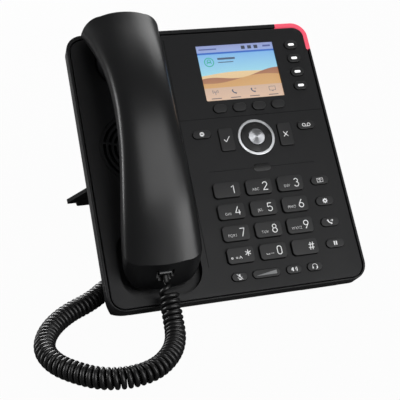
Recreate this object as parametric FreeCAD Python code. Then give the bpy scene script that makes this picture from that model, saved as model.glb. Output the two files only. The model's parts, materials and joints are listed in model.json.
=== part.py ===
import FreeCAD, Part
import math
import os
from FreeCAD import Vector

# Desk IP phone with a corded handset, a colour display, a full keypad and a folding stand.
# Most pieces are drawn in the panel frame: u to the right of the centre line, v up the
# slope from the housing's bottom edge, n out of the front face. Millimetres throughout.

# --- how the phone stands ---
TILT = 46.0                 # slope of the front face
EDGE_HEIGHT = 12.5          # front face's bottom edge above the desk

# --- columns across the front face, from its left edge to its right edge ---
EDGE_TO_HANDSET = 36.1
HANDSET_TO_DIAL = 54.47     # to the middle of the first column of dial keys
DIAL_PITCH_U = 22.53
DIAL_TO_SIDE_KEYS = 22.07
SIDE_KEYS_TO_EDGE = 18.3

# --- rows up the front face, from its bottom edge to its top edge ---
EDGE_TO_LOWER_ROW = 12.2
LOWER_ROW_TO_DIAL = 13.92
DIAL_PITCH_V = 15.11
DIAL_TO_SENSOR = 14.15
SENSOR_TO_NAV = 22.1
NAV_TO_SOFT_KEYS = 23.3
SOFT_KEYS_TO_SCREEN = 28.1
SCREEN_TO_EDGE = 35.4

# --- housing ---
CORNER_RADIUS = 11.5
RIM_DEPTH = 10.4            # upright part of the side wall
BACK_DEPTH_LOW = 23.0       # depth of the back at its lower end
BACK_DEPTH_TOP = 28.0
SIDE_TAPER = 8.0            # the back is narrower than the front by this on each side
TOP_TAPER = 8.0
CHIN_TAPER = 3.0
SHELL_WALL = 3.0
LAND_LENGTH = 9.0           # level strip under the housing that its feet sit on
RIM_SIDE = 1.7
RIM_BOTTOM = 1.0
RIM_TOP = 3.1
GROOVE = 0.8                # shadow gap round the front cover
EDGE_ROUND = 0.8

# --- front cover ---
COVER_THICK = 2.5
COVER_ROUND = 0.6
LINE_WIDTH = 0.6            # engraved lines
LINE_DEPTH = 0.4
LINE_END_GAP = 4.0          # how far the upright line stops below the cover's top edge
LINE_START_V = 21.0
LINE_OVER_SOFT_KEYS = -6.6
COLUMN_LINE_SHIFT = 31.9    # the upright line, from the handset's middle
LINE_REACH = 38.0           # how far the sensor's line runs to each side

# --- keys ---
KEY_GAP = 0.25
KEY_TRAVEL = 1.0
KEY_ROUND = 0.5
FLANGE_MARGIN = 0.8
FLANGE_THICK = 1.0
FLANGE_GAP = 0.3
ROCK_ROOM = 0.3             # extra depth of the volume rocker's flange
DIAL_WIDTH = 18.7
DIAL_HEIGHT = 10.7
DIAL_CORNER = 2.5
DIAL_RISE = 2.0
SMALL_RISE = 1.1
SIDE_KEY_WIDTH = 13.2
SIDE_KEY_HEIGHT = 6.0
SOFT_KEY_PITCH = 14.2
SOFT_KEY_WIDTH = 10.0
SOFT_KEY_HEIGHT = 6.2
LINE_KEY_SHIFT = 3.4        # line keys stand this much right of the side keys
LINE_KEY_OVER_SCREEN = 17.2 # the top one above the screen's middle
LINE_KEY_PITCH = 10.87
LINE_KEY_WIDTH = 10.0
LINE_KEY_HEIGHT = 6.4
CHECK_KEY_WIDTH = 10.2
CHECK_KEY_HEIGHT = 16.6
CHECK_KEY_CORNER = 1.6
CHECK_KEY_REACH = 21.4      # from the navigation cluster's middle
NOTICE_KEY_WIDTH = 13.0
NOTICE_KEY_HEIGHT = 5.9
NOTICE_OVER_NAV = 5.4
NOTICE_LEFT_REACH = 38.2
LOWER_KEY_WIDTH = 10.6
LOWER_KEY_HEIGHT = 5.6
MUTE_SHIFT = -3.57          # places in the lower row, from the first dial column
VOLUME_SHIFT = 15.03
SPEAKER_KEY_SHIFT = 34.13
HEADSET_KEY_SHIFT = 48.83
VOLUME_WIDTH = 19.1
VOLUME_CORNER = 2.7

# --- navigation cluster ---
NAV_SHIFT = 29.13           # from the first dial column
NAV_RING_OUTER = 13.26
NAV_RING_INNER = 11.45
NAV_RING_RISE = 0.6
NAV_RING_ROUND = 0.4
NAV_DISC_RADIUS = 11.2
NAV_DISC_BORE = 6.15
NAV_DISC_RISE = 1.1
NAV_DISC_LOW = -1.6
NAV_DISC_ROUND = 0.5
OK_RADIUS = 5.9
OK_RISE = 1.5
OK_ROUND = 0.5
ROCKER_OUTER = 9.8
ROCKER_BORE = 6.9
ROCKER_THICK = 1.0
ROCKER_DROP = 0.35          # running gap between the disc and the rocker plate
NAV_PIVOT_DEPTH = 3.4

# --- display ---
SCREEN_WIDTH = 57.6
SCREEN_HEIGHT = 43.2
SCREEN_CORNER = 1.0
SCREEN_SHIFT = -0.55        # from the navigation cluster's middle
WINDOW_MARGIN = 1.7
WINDOW_DEPTH = 0.6
WINDOW_THICK = 1.0
WINDOW_FIT = 0.2
CELL_MARGIN = 1.0
MODULE_MARGIN = 3.0
MODULE_MARGIN_LOW = 2.0
SENSOR_WIDTH = 12.6
SENSOR_HEIGHT = 5.6
SENSOR_RISE = 0.1
SENSOR_ROUND = 0.08

# --- message light in the rim's top right corner ---
LIGHT_WIDTH = 3.3
LIGHT_ALONG_TOP = 23.2
LIGHT_ALONG_SIDE = 21.9
LIGHT_DEPTH = 5.0
LIGHT_GAP = 0.15

# --- loudspeaker and its grille ---
SPEAKER_SHIFT = 0.3         # from the handset's middle
SPEAKER_V = 108.5
GRILLE_OUTER = 22.0         # middle radius of the outermost slot
GRILLE_PITCH = 3.55
GRILLE_RINGS = 6
GRILLE_SLOT = 1.85
GRILLE_SPOKE = 1.7
GRILLE_TURN = 76.0
GRILLE_CIRCLE = 25.0
SPEAKER_FRAME_RADIUS = 26.0
SPEAKER_FRAME_THICK = 2.5
SPEAKER_MAGNET_RADIUS = 14.0
SPEAKER_DEPTH = 13.0
SPEAKER_CONE_DEPTH = 4.5
SPEAKER_CONE_FLOOR = 8.0    # radius of the cone's flat middle
SPEAKER_BASKET_DEPTH = 5.0

# --- inside ---
MAT_TOP = -5.2
MAT_THICK = 1.4
MAT_TO_EDGE = 9.0
MAT_INSET = 0.5             # inside the board's edge
MAT_GAP = 0.6               # round the display module and the pillars
DOME_RADIUS = 2.0
DOME_GAP = 0.1
BOARD_THICK = 1.6
BOARD_TO_DIAL = 11.57       # left edge of the board to the first dial column
BOARD_TO_EDGE = 7.0
BOARD_BOTTOM = 7.0
BOARD_TO_TOP = 13.5
BOARD_LEG_TO_EDGE = 18.0
BOARD_LEG_LOW = 57.0
BOARD_LEG_HIGH = 82.0
BOARD_CHIPS = [(17.0, 92.0, 22.0, 1.6), (53.0, 96.0, 13.0, 1.2)]    # right, up, size, height
POST_RADIUS = 3.0
POST_TO_BOARD_EDGE = 5.0
POST_MORE_ON_RIGHT = 2.0
POST_OVER_SENSOR = 4.4
POST_TO_TOP = 22.5
POST_UNDER_SOFT_KEYS = 3.0
SCREW_TO_EDGE = 11.5        # from the housing's left and right edges
SCREW_TO_BOARD = 6.0        # left of the board
SCREW_LOW = 12.0
SCREW_LOW_RIGHT = 9.5
SCREW_SIDE_LOW = 74.0
SCREW_SIDE_TO_TOP = 48.5
SCREW_TO_TOP = 10.5
SCREW_RIGHT_TO_TOP = 8.5
SCREW_RADIUS = 1.25
SCREW_CLEARANCE = 0.05
SCREW_LENGTH = 10.0
SCREW_TIP_GAP = 0.5
SCREW_HEAD_RADIUS = 2.5
SCREW_HEAD_THICK = 1.6
SCREW_SINK = 2.0
CROSS_LENGTH = 3.2
CROSS_WIDTH = 0.7
CROSS_DEPTH = 0.8

# --- vents high on the back ---
VENT_ROWS = [140.0, 156.0]
VENT_COLUMNS = 9
VENT_PITCH = 9.0
VENT_SIZE = (2.4, 11.0)
VENT_CORNER = 1.1

# --- sockets in the back ---
BAY_TO_EDGE = 16.0          # left side of the bay to the housing's left edge
BAY_WIDTH = 100.0
BAY_LOW = 34.0
BAY_HIGH = 62.0
BAY_FLOOR = -10.6
BAY_WALL = 1.8
SOCKET_AXIS_DEPTH = 15.1
SOCKET_DEPTH = 19.0
NETWORK_PLACES = [66.0, 86.0]    # from the bay's left side
NETWORK_BODY = (16.0, 12.4)
NETWORK_MOUTH = (11.9, 8.3)
JACK_PLACES = [12.0, 32.0]
JACK_BODY = (11.4, 11.4)
JACK_MOUTH = (8.0, 7.0)
NETWORK_REACH = 14.0
JACK_REACH = 11.0

# --- handset cradle ---
MOUTH_POCKET_LEFT = 25.6    # from the handset's middle
MOUTH_POCKET_RIGHT = 27.6
MOUTH_POCKET_LOW = 6.2
MOUTH_POCKET_HIGH = 54.0
MOUTH_POCKET_CORNER = 16.0
POCKET_DEPTH = 6.5
POCKET_WALL = 1.8
EAR_TO_EDGE = 23.5
EAR_POCKET_RADIUS = 18.2
DISH_TO_EDGE = 12.5
DISH_RADIUS = 22.5
DISH_DEPTH = 1.0
SEAT_GAP = 0.3              # under the handset's ends
HOOK_SENSOR_V = 48.0
HOOK_SENSOR_RADIUS = 2.4

# --- handset: distance along v, half width, widest level, top level, bottom level, crown power ---
HANDSET_STATIONS = [
    (2.0, 24.6, 7.5, 16.0, 0.5, 2.7),
    (15.0, 25.2, 10.5, 20.0, 1.0, 2.7),
    (28.0, 25.3, 15.0, 25.6, 3.5, 2.7),
    (42.0, 24.7, 20.5, 32.0, 8.0, 2.7),
    (56.0, 23.6, 26.5, 37.5, 15.0, 2.7),
    (72.0, 22.0, 32.3, 42.0, 22.3, 2.7),
    (90.0, 20.2, 37.2, 46.0, 28.0, 2.7),
    (110.0, 19.1, 40.0, 48.3, 31.0, 2.7),
    (132.0, 19.1, 39.0, 47.6, 30.2, 2.6),
    (152.0, 20.5, 33.5, 43.6, 23.0, 2.5),
    (170.0, 22.8, 24.5, 37.6, 12.5, 2.4),
    (184.0, 25.4, 14.0, 32.4, 5.5, 2.3),
    (202.0, 27.6, 6.0, 26.0, 1.2, 2.2),
]
BELLY_POWER = 2.9           # superellipse power of the handset's underside
HANDSET_WALL = 2.0
HANDSET_CHIN_V = 11.4       # lower end's edge at n = 0
CHIN_SLOPE = 0.43
# half of an end's outline: distances out from the middle and back from the end's furthest point
CHIN_PLAN = [(25.8, 15.0), (22.0, 5.2), (13.5, 1.4)]
CROWN_PLAN = [(27.9, 10.5), (23.8, 4.3), (14.5, 1.5)]
CROWN_SLOPE = 0.10
END_STRIP = 40.0            # far past the handset on every side
END_DROP = 12.0             # the end cuts start this far below the panel
CROWN_OVER_EDGE = 2.4       # the handset's upper end past the housing's top edge
MOUTH_BLOCK_HALF = 20.8
MOUTH_BLOCK_LOW = 13.5
MOUTH_BLOCK_HIGH = 46.0
MOUTH_BLOCK_CORNER = 9.0
EAR_BLOCK_RADIUS = 17.2
RECEIVER_RADIUS = 13.5
RECEIVER_THICK = 5.0
RECEIVER_HUB = (8.1, 2.0)   # radius and height of its hub
MICROPHONE_RADIUS = 4.8
MICROPHONE_THICK = 3.0
MICROPHONE_V = 36.0
SOUND_HOLE_RADIUS = 0.8
SOUND_HOLE_PITCH = 3.2
HANDSET_JACK_LEVEL = 12.0
HANDSET_JACK = (8.4, 7.2)
HANDSET_JACK_END_V = 29.0
HANDSET_JACK_WALL = 1.4

# --- cord ---
CORD_RADIUS = 1.65
COIL_RADIUS = 6.5
PLUG_WIDTH = 7.6
PLUG_HEIGHT = 6.4
PLUG_LENGTH = 11.0
BOOT_LENGTH = 4.5
BOOT_RADIUS = 2.3
BOOT_WALL = 0.2             # at the boot's thin end
HANDSET_PLUG_V = 17.6       # outer end of the handset's plug
BASE_PLUG_OUT = 4.0         # how far the base's plug stands out of its socket
COIL_START_V = 2.9
COIL_START_RUN = 15.0
TAIL_START_RUN = 7.2
BOOT_RUN = 8.0
# corners of the coil's route over the desk
COIL_ROUTE = [
    (-53.6, -125.0, 7.0),
    (-61.0, -139.5, 6.6),
    (-73.0, -150.8, 6.6),
    (-88.5, -154.4, 6.6),
    (-104.0, -151.3, 6.6),
    (-117.0, -141.5, 6.6),
    (-127.0, -130.0, 6.6),
    (-131.4, -115.5, 6.6),
    (-128.6, -101.0, 6.6),
    (-121.0, -87.9, 6.6),
    (-110.0, -76.9, 6.6),
    (-99.0, -70.3, 6.6),
    (-90.6, -63.4, 6.6),
    (-84.0, -55.7, 6.6),
    (-75.8, -49.7, 6.6),
]
# corners of the straight cord's route from the coil's end up into the back
TAIL_ROUTE = [
    (-63.4, -43.9, 11.4),
    (-60.3, -46.9, 18.8),
    (-60.0, -50.9, 27.0),
]

# --- stand ---
HINGE_TO_EDGE = 19.5
HINGE_GAP = 0.1             # between the stand's barrel and the housing's deepest line
STAND_SPREAD = 45.0         # how far the foot lies behind the hinge
STAND_THICK = 4.0
STAND_NECK = 44.0           # half width of its upper part
STAND_TIP_TO_EDGE = 3.7
STAND_FLAT_TO_EDGE = 11.0   # end of the foot's straight edge
STAND_TIP_RISE = 2.6
STAND_SHOULDER = (9.0, 24.0)    # wider than the neck by this, at this distance from the foot
STAND_NECK_START = 38.0
STAND_FOOT_HEIGHT = 2.5
STAND_FOOT_INNER = 38.0
STAND_BAR = (3.6, 3.0)      # half depth and height of the foot's bar
STAND_PAD_HALF = 3.2
BARREL_RADIUS = 3.4
PIN_RADIUS = 2.0
PIN_CLEARANCE = 0.05
PIN_END_GAP = 0.3
EAR_THICK = 4.0
EAR_GAP = 0.4
EAR_WALL = 1.0              # round the stand's barrel
RIB_U = 30.0
RIB_THICK = 3.0
RIB_DEPTH = 5.0
RIB_START = 8.2
RIB_TO_HINGE = 14.0

# --- housing feet ---
FOOT_HEIGHT = 3.2
FOOT_LENGTH = 30.0
FOOT_TO_EDGE = 14.0
FOOT_MARGIN = 1.2
FOOT_CORNER = 2.5
FOOT_ROUND = 0.5

# --- worked out from the sizes above ---
HOUSING_WIDTH = (EDGE_TO_HANDSET + HANDSET_TO_DIAL + 2 * DIAL_PITCH_U + DIAL_TO_SIDE_KEYS
                 + SIDE_KEYS_TO_EDGE)
HALF = HOUSING_WIDTH / 2
HANDSET_U = -HALF + EDGE_TO_HANDSET
DIAL_LEFT_U = HANDSET_U + HANDSET_TO_DIAL
SIDE_KEY_U = DIAL_LEFT_U + 2 * DIAL_PITCH_U + DIAL_TO_SIDE_KEYS
LINE_KEY_U = SIDE_KEY_U + LINE_KEY_SHIFT
NAV_U = DIAL_LEFT_U + NAV_SHIFT
SCREEN_U = NAV_U + SCREEN_SHIFT
SENSOR_U = SCREEN_U
SOFT_KEY_LEFT_U = NAV_U - 1.5 * SOFT_KEY_PITCH
VOLUME_U = DIAL_LEFT_U + VOLUME_SHIFT
SPEAKER_U = HANDSET_U + SPEAKER_SHIFT
LOWER_ROW_V = EDGE_TO_LOWER_ROW
DIAL_TOP_V = LOWER_ROW_V + LOWER_ROW_TO_DIAL + 3 * DIAL_PITCH_V
SENSOR_V = DIAL_TOP_V + DIAL_TO_SENSOR
NAV_V = SENSOR_V + SENSOR_TO_NAV
NOTICE_V = NAV_V + NOTICE_OVER_NAV
SOFT_KEY_V = NAV_V + NAV_TO_SOFT_KEYS
SCREEN_V = SOFT_KEY_V + SOFT_KEYS_TO_SCREEN
LINE_KEY_TOP_V = SCREEN_V + LINE_KEY_OVER_SCREEN
HOUSING_LENGTH = SCREEN_V + SCREEN_TO_EDGE
SLOPE = math.radians(TILT)
COVER_LOW = RIM_BOTTOM + GROOVE
COVER_HIGH = HOUSING_LENGTH - RIM_TOP - GROOVE
COVER_HALF = HALF - RIM_SIDE - GROOVE
COVER_CORNER = CORNER_RADIUS - RIM_SIDE
FLANGE_TOP = -COVER_THICK - FLANGE_GAP
FLANGE_LOW = FLANGE_TOP - FLANGE_THICK
BOARD_FACE = MAT_TOP - MAT_THICK
BOARD_BACK = BOARD_FACE - BOARD_THICK
BOARD_LEFT = DIAL_LEFT_U - BOARD_TO_DIAL
BOARD_RIGHT = HALF - BOARD_TO_EDGE
BOARD_TOP = HOUSING_LENGTH - BOARD_TO_TOP
MAT_RIGHT = HALF - MAT_TO_EDGE
SCREW_LEFT = -HALF + SCREW_TO_EDGE
SCREW_MIDDLE = BOARD_LEFT - SCREW_TO_BOARD
SCREW_RIGHT = HALF - SCREW_TO_EDGE
SCREW_PLACES = [(SCREW_MIDDLE, SCREW_LOW), (SCREW_RIGHT, SCREW_LOW_RIGHT), (SCREW_LEFT, SCREW_SIDE_LOW),
                (SCREW_LEFT, HOUSING_LENGTH - SCREW_SIDE_TO_TOP),
                (SCREW_MIDDLE, HOUSING_LENGTH - SCREW_TO_TOP),
                (SCREW_RIGHT, HOUSING_LENGTH - SCREW_RIGHT_TO_TOP)]
POST_LEFT = BOARD_LEFT + POST_TO_BOARD_EDGE
POST_RIGHT = BOARD_RIGHT - POST_TO_BOARD_EDGE - POST_MORE_ON_RIGHT
POST_PLACES = [(POST_LEFT, SENSOR_V + POST_OVER_SENSOR), (POST_RIGHT, SENSOR_V + POST_OVER_SENSOR),
               (POST_LEFT, HOUSING_LENGTH - POST_TO_TOP), (POST_RIGHT, SOFT_KEY_V - POST_UNDER_SOFT_KEYS)]
POCKET_FLOOR = -POCKET_DEPTH
HANDSET_SEAT = POCKET_FLOOR + SEAT_GAP
EAR_POCKET_V = HOUSING_LENGTH - EAR_TO_EDGE
DISH_V = HOUSING_LENGTH - DISH_TO_EDGE
CROWN_END_V = HOUSING_LENGTH + CROWN_OVER_EDGE
LIGHT_START_U = HALF - LIGHT_ALONG_TOP
LIGHT_END_V = HOUSING_LENGTH - LIGHT_ALONG_SIDE
SCREEN_LEFT = SCREEN_U - SCREEN_WIDTH / 2
SCREEN_RIGHT = SCREEN_U + SCREEN_WIDTH / 2
SCREEN_LOW = SCREEN_V - SCREEN_HEIGHT / 2
SCREEN_HIGH = SCREEN_V + SCREEN_HEIGHT / 2
BAY_LEFT = -HALF + BAY_TO_EDGE
BAY_RIGHT = BAY_LEFT + BAY_WIDTH
NETWORK_U = [BAY_LEFT + place for place in NETWORK_PLACES]
JACK_U = [BAY_LEFT + place for place in JACK_PLACES]
SOCKET_LEVEL = -SOCKET_AXIS_DEPTH
HINGE_V = HOUSING_LENGTH - HINGE_TO_EDGE
HINGE_DEPTH = BACK_DEPTH_TOP + BARREL_RADIUS + HINGE_GAP
STAND_TIP = HALF - STAND_TIP_TO_EDGE
STAND_FLAT = HALF - STAND_FLAT_TO_EDGE
FOOT_OUTER = HALF - FOOT_TO_EDGE
FOOT_INNER = FOOT_OUTER - FOOT_LENGTH
FAR = 60.0                  # long enough to pass right through the housing

DIAL_NAMES = [
    ["key_1", "key_2", "key_3"],
    ["key_4", "key_5", "key_6"],
    ["key_7", "key_8", "key_9"],
    ["key_star", "key_0", "key_hash"],
]
SIDE_NAMES = ["directory_key", "settings_key", "transfer_key", "hold_key"]
LOWER_KEYS = [("mute_key", MUTE_SHIFT), ("speaker_key", SPEAKER_KEY_SHIFT),
              ("headset_key", HEADSET_KEY_SHIFT)]


# ---------------------------------------------------------------- plain solids

def box(u0, u1, v0, v1, n0, n1):
    """A block between two corners."""
    return Part.makeBox(u1 - u0, v1 - v0, n1 - n0, Vector(u0, v0, n0))


def disc(u, v, radius, n0, n1):
    """A round block that stands along n."""
    return Part.makeCylinder(radius, n1 - n0, Vector(u, v, n0), Vector(0, 0, 1))


def rounded_wire(u0, u1, v0, v1, radius, level):
    """A rectangle with round corners, as lines and arcs at one level."""
    corners = [(u1 - radius, v0 + radius, -90), (u1 - radius, v1 - radius, 0),
               (u0 + radius, v1 - radius, 90), (u0 + radius, v0 + radius, 180)]
    edges = []
    ends = []
    for cu, cv, start in corners:
        angles = [math.radians(start + turn) for turn in (0, 45, 90)]
        points = [Vector(cu + radius * math.cos(a), cv + radius * math.sin(a), level) for a in angles]
        edges.append(Part.Arc(*points).toShape())
        ends.append((points[0], points[2]))
    for here, after in zip(ends, ends[1:] + ends[:1]):
        if here[1].distanceToPoint(after[0]) > 1e-6:
            edges.append(Part.LineSegment(here[1], after[0]).toShape())
    return Part.Wire(Part.__sortEdges__(edges))


def slab(u0, u1, v0, v1, radius, n0, n1):
    """A plate with round corners."""
    face = Part.Face(rounded_wire(u0, u1, v0, v1, radius, n0))
    return face.extrude(Vector(0, 0, n1 - n0))


def pad(u, v, width, height, radius, n0, n1, grow=0.0):
    """A plate with round corners about a centre, grown on every side."""
    half_width = width / 2 + grow
    half_height = height / 2 + grow
    corner = min(radius + grow, half_height - 0.001, half_width - 0.001)
    return slab(u - half_width, u + half_width, v - half_height, v + half_height, corner, n0, n1)


def soften(shape, level, radius):
    """Round the edges that lie flat at one level."""
    chosen = []
    for edge in shape.Edges:
        limits = edge.BoundBox
        if abs(limits.ZMin - level) < 1e-4 and abs(limits.ZMax - level) < 1e-4:
            chosen.append(edge)
    return shape.makeFillet(radius, chosen)


def polygon(points):
    """A flat face from its corners."""
    return Part.Face(Part.makePolygon([Vector(*p) for p in points + points[:1]]))


# ---------------------------------------------------------------- housing

def height_over_desk(v, n):
    return v * math.sin(SLOPE) + n * math.cos(SLOPE) + EDGE_HEIGHT


def desk_point(u, v, n):
    """Panel frame to the standing phone, measured from the front face's bottom edge."""
    y = v * math.cos(SLOPE) - n * math.sin(SLOPE)
    return Vector(u, y, height_over_desk(v, n))


def land_points():
    """The two ends of the level strip that carries the feet, as (v, n)."""
    level = FOOT_HEIGHT
    n = (level - EDGE_HEIGHT - CHIN_TAPER * math.sin(SLOPE)) / math.cos(SLOPE)
    start = (CHIN_TAPER, n)
    end = (CHIN_TAPER + LAND_LENGTH * math.cos(SLOPE), n - LAND_LENGTH * math.sin(SLOPE))
    return start, end


def back_level(v):
    """Level of the housing's back at a place along v."""
    start = land_points()[1]
    top = HOUSING_LENGTH - TOP_TAPER
    share = (v - start[0]) / (top - start[0])
    return start[1] + share * (-BACK_DEPTH_TOP - start[1])


def housing_block(inset):
    """The housing's outer form, drawn in by a wall thickness."""
    start, end = land_points()
    top = HOUSING_LENGTH - TOP_TAPER
    side = [(0, 0), (0, -RIM_DEPTH), start, end, (top, -BACK_DEPTH_TOP),
            (HOUSING_LENGTH, -RIM_DEPTH), (HOUSING_LENGTH, 0)]
    deepest = max(BACK_DEPTH_LOW, BACK_DEPTH_TOP) + 4
    narrow = HALF - SIDE_TAPER * (deepest - RIM_DEPTH) / (BACK_DEPTH_TOP - RIM_DEPTH)
    ends = [(-HALF, 0), (-HALF, -RIM_DEPTH), (-narrow, -deepest),
            (narrow, -deepest), (HALF, -RIM_DEPTH), (HALF, 0)]
    side_face = polygon([(-HALF, v, n) for v, n in side])
    end_face = polygon([(u, 0, n) for u, n in ends])
    if inset > 0:
        side_face = side_face.makeOffset2D(-inset, 2)
        end_face = end_face.makeOffset2D(-inset, 2)
    along = side_face.extrude(Vector(HOUSING_WIDTH, 0, 0))
    across = end_face.extrude(Vector(0, HOUSING_LENGTH, 0))
    outline = slab(-HALF + inset, HALF - inset, inset, HOUSING_LENGTH - inset,
                   CORNER_RADIUS - inset, -FAR, 0)
    return along.common(across).common(outline)


def cover_seat(grow, n0, n1):
    """The front cover's outline, grown on every side."""
    return slab(-COVER_HALF - grow, COVER_HALF + grow, COVER_LOW - grow, COVER_HIGH + grow,
                COVER_CORNER + grow - GROOVE, n0, n1)


def light_corner(grow, n0, n1):
    """The part of the rim that the message light takes up."""
    reach = LIGHT_WIDTH + grow
    whole = slab(-HALF, HALF, 0, HOUSING_LENGTH, CORNER_RADIUS, n0, n1)
    middle = slab(-HALF, HALF - reach, -FAR, HOUSING_LENGTH - reach, CORNER_RADIUS - LIGHT_WIDTH,
                  n0 - 1, n1 + 1)
    right = box(HALF - 2 * CORNER_RADIUS, HALF + 1, LIGHT_END_V - grow, HOUSING_LENGTH + 1, n0 - 1, n1 + 1)
    top = box(LIGHT_START_U - grow, HALF + 1, HOUSING_LENGTH - 2 * CORNER_RADIUS, HOUSING_LENGTH + 1,
              n0 - 1, n1 + 1)
    strip = whole.cut(middle)
    on_top = strip.common(top).common(box(-HALF, HALF + 1, HOUSING_LENGTH - CORNER_RADIUS,
                                          HOUSING_LENGTH + 1, n0 - 1, n1 + 1))
    on_right = strip.common(right).common(box(HALF - CORNER_RADIUS, HALF + 1, 0,
                                              HOUSING_LENGTH + 1, n0 - 1, n1 + 1))
    return on_top.fuse(on_right).removeSplitter()


def screw_head_level(v):
    return back_level(v) + SCREW_SINK


def socket_list():
    """Every socket: its place, body size, mouth size and reach."""
    network = [(u, NETWORK_BODY, NETWORK_MOUTH, NETWORK_REACH) for u in NETWORK_U]
    jacks = [(u, JACK_BODY, JACK_MOUTH, JACK_REACH) for u in JACK_U]
    return network + jacks


def back_shell():
    body = soften(housing_block(0), 0, EDGE_ROUND)
    body = body.cut(housing_block(SHELL_WALL))
    body = body.cut(slab(-HALF + SHELL_WALL, HALF - SHELL_WALL, SHELL_WALL, HOUSING_LENGTH - SHELL_WALL,
                         CORNER_RADIUS - SHELL_WALL, -SHELL_WALL - 1, 1))
    body = body.cut(cover_seat(GROOVE, -COVER_THICK, 1))
    body = body.cut(light_corner(LIGHT_GAP, -LIGHT_DEPTH, 1))
    bay_block = box(BAY_LEFT - BAY_WALL, BAY_RIGHT + BAY_WALL, BAY_LOW - BAY_WALL, BAY_HIGH + BAY_WALL,
                    -FAR, BAY_FLOOR + BAY_WALL)
    body = body.fuse(bay_block.common(housing_block(0)))
    body = body.cut(box(BAY_LEFT, BAY_RIGHT, BAY_LOW, BAY_HIGH, -FAR, BAY_FLOOR))
    for u, outer, mouth, reach in socket_list():
        body = body.cut(box(u - outer[0] / 2, u + outer[0] / 2, BAY_HIGH - 1, BAY_HIGH + BAY_WALL + 1,
                            SOCKET_LEVEL - outer[1] / 2, BAY_FLOOR + BAY_WALL + 1))
    for u, v in POST_PLACES:
        body = body.fuse(disc(u, v, POST_RADIUS, back_level(v) + 1, BOARD_BACK))
    for u, v in SCREW_PLACES:
        head = screw_head_level(v)
        body = body.cut(disc(u, v, SCREW_RADIUS + SCREW_CLEARANCE, -FAR, 0))
        body = body.cut(disc(u, v, SCREW_HEAD_RADIUS + 2 * SCREW_CLEARANCE, -FAR, head))
    for side in (-1, 1):
        body = body.fuse(hinge_ear(side))
    body = body.cut(disc(HANDSET_U, DISH_V, DISH_RADIUS, -DISH_DEPTH, 1))
    for slot in vent_slots():
        body = body.cut(slot)
    return body.removeSplitter()


def vent_slots():
    """Rows of cooling slots high on the back."""
    slots = []
    for v in VENT_ROWS:
        for column in range(VENT_COLUMNS):
            u = (column - (VENT_COLUMNS - 1) / 2) * VENT_PITCH
            slots.append(pad(u, v, *VENT_SIZE, VENT_CORNER, -FAR, -BACK_DEPTH_LOW + SHELL_WALL))
    return slots


def hinge_ear(side):
    """One of the two ears that hold the stand's pins."""
    inner = side * (STAND_NECK + EAR_GAP)
    outer = inner + side * EAR_THICK
    low = min(inner, outer)
    high = max(inner, outer)
    reach = BARREL_RADIUS + EAR_WALL
    root = back_level(HINGE_V) + 1.5
    plate = box(low, high, HINGE_V - reach, HINGE_V + reach, -HINGE_DEPTH, root)
    nose = Part.makeCylinder(reach, EAR_THICK, Vector(low, HINGE_V, -HINGE_DEPTH), Vector(1, 0, 0))
    bore = Part.makeCylinder(PIN_RADIUS + PIN_CLEARANCE, EAR_THICK + 2,
                             Vector(low - 1, HINGE_V, -HINGE_DEPTH), Vector(1, 0, 0))
    return plate.fuse(nose).cut(bore)


# ---------------------------------------------------------------- front cover

def grille_slots():
    """Ring-shaped slots, parted by two crossing spokes."""
    rings = []
    for index in range(GRILLE_RINGS):
        middle = GRILLE_OUTER - index * GRILLE_PITCH
        outer = disc(SPEAKER_U, SPEAKER_V, middle + GRILLE_SLOT / 2, -COVER_THICK - 1, 1)
        inner = disc(SPEAKER_U, SPEAKER_V, middle - GRILLE_SLOT / 2, -COVER_THICK - 2, 2)
        rings.append(outer.cut(inner))
    slots = Part.makeCompound(rings)
    for quarter in (0, 90):
        spoke = box(-GRILLE_CIRCLE, GRILLE_CIRCLE, -GRILLE_SPOKE / 2, GRILLE_SPOKE / 2, -COVER_THICK - 3, 3)
        spoke.rotate(Vector(0, 0, 0), Vector(0, 0, 1), GRILLE_TURN + quarter)
        spoke.translate(Vector(SPEAKER_U, SPEAKER_V, 0))
        slots = slots.cut(spoke)
    return slots


def circle_groove(u, v, radius):
    outer = disc(u, v, radius + LINE_WIDTH / 2, -LINE_DEPTH, 1)
    return outer.cut(disc(u, v, radius - LINE_WIDTH / 2, -LINE_DEPTH - 1, 2))


def engraved_lines():
    """The fine lines that divide the front face."""
    half = LINE_WIDTH / 2
    column = HANDSET_U + COLUMN_LINE_SHIFT
    upper = SOFT_KEY_V + LINE_OVER_SOFT_KEYS
    gap = SENSOR_WIDTH / 2
    return [
        box(column, COVER_HALF + 1, upper - half, upper + half, -LINE_DEPTH, 1),
        box(column - half, column + half, LINE_START_V, COVER_HIGH - LINE_END_GAP, -LINE_DEPTH, 1),
        box(SENSOR_U - LINE_REACH, SENSOR_U - gap, SENSOR_V - half, SENSOR_V + half, -LINE_DEPTH, 1),
        box(SENSOR_U + gap, SENSOR_U + LINE_REACH, SENSOR_V - half, SENSOR_V + half, -LINE_DEPTH, 1),
    ]


def pocket_solids(grow):
    """The two hollows that the handset's ends rest in."""
    floor = POCKET_FLOOR - grow
    mouth = slab(HANDSET_U - MOUTH_POCKET_LEFT - grow, HANDSET_U + MOUTH_POCKET_RIGHT + grow,
                 MOUTH_POCKET_LOW - grow, MOUTH_POCKET_HIGH + grow, MOUTH_POCKET_CORNER + grow, floor, 1)
    ear = disc(HANDSET_U, EAR_POCKET_V, EAR_POCKET_RADIUS + grow, floor, 1)
    return mouth.fuse(ear)


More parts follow.
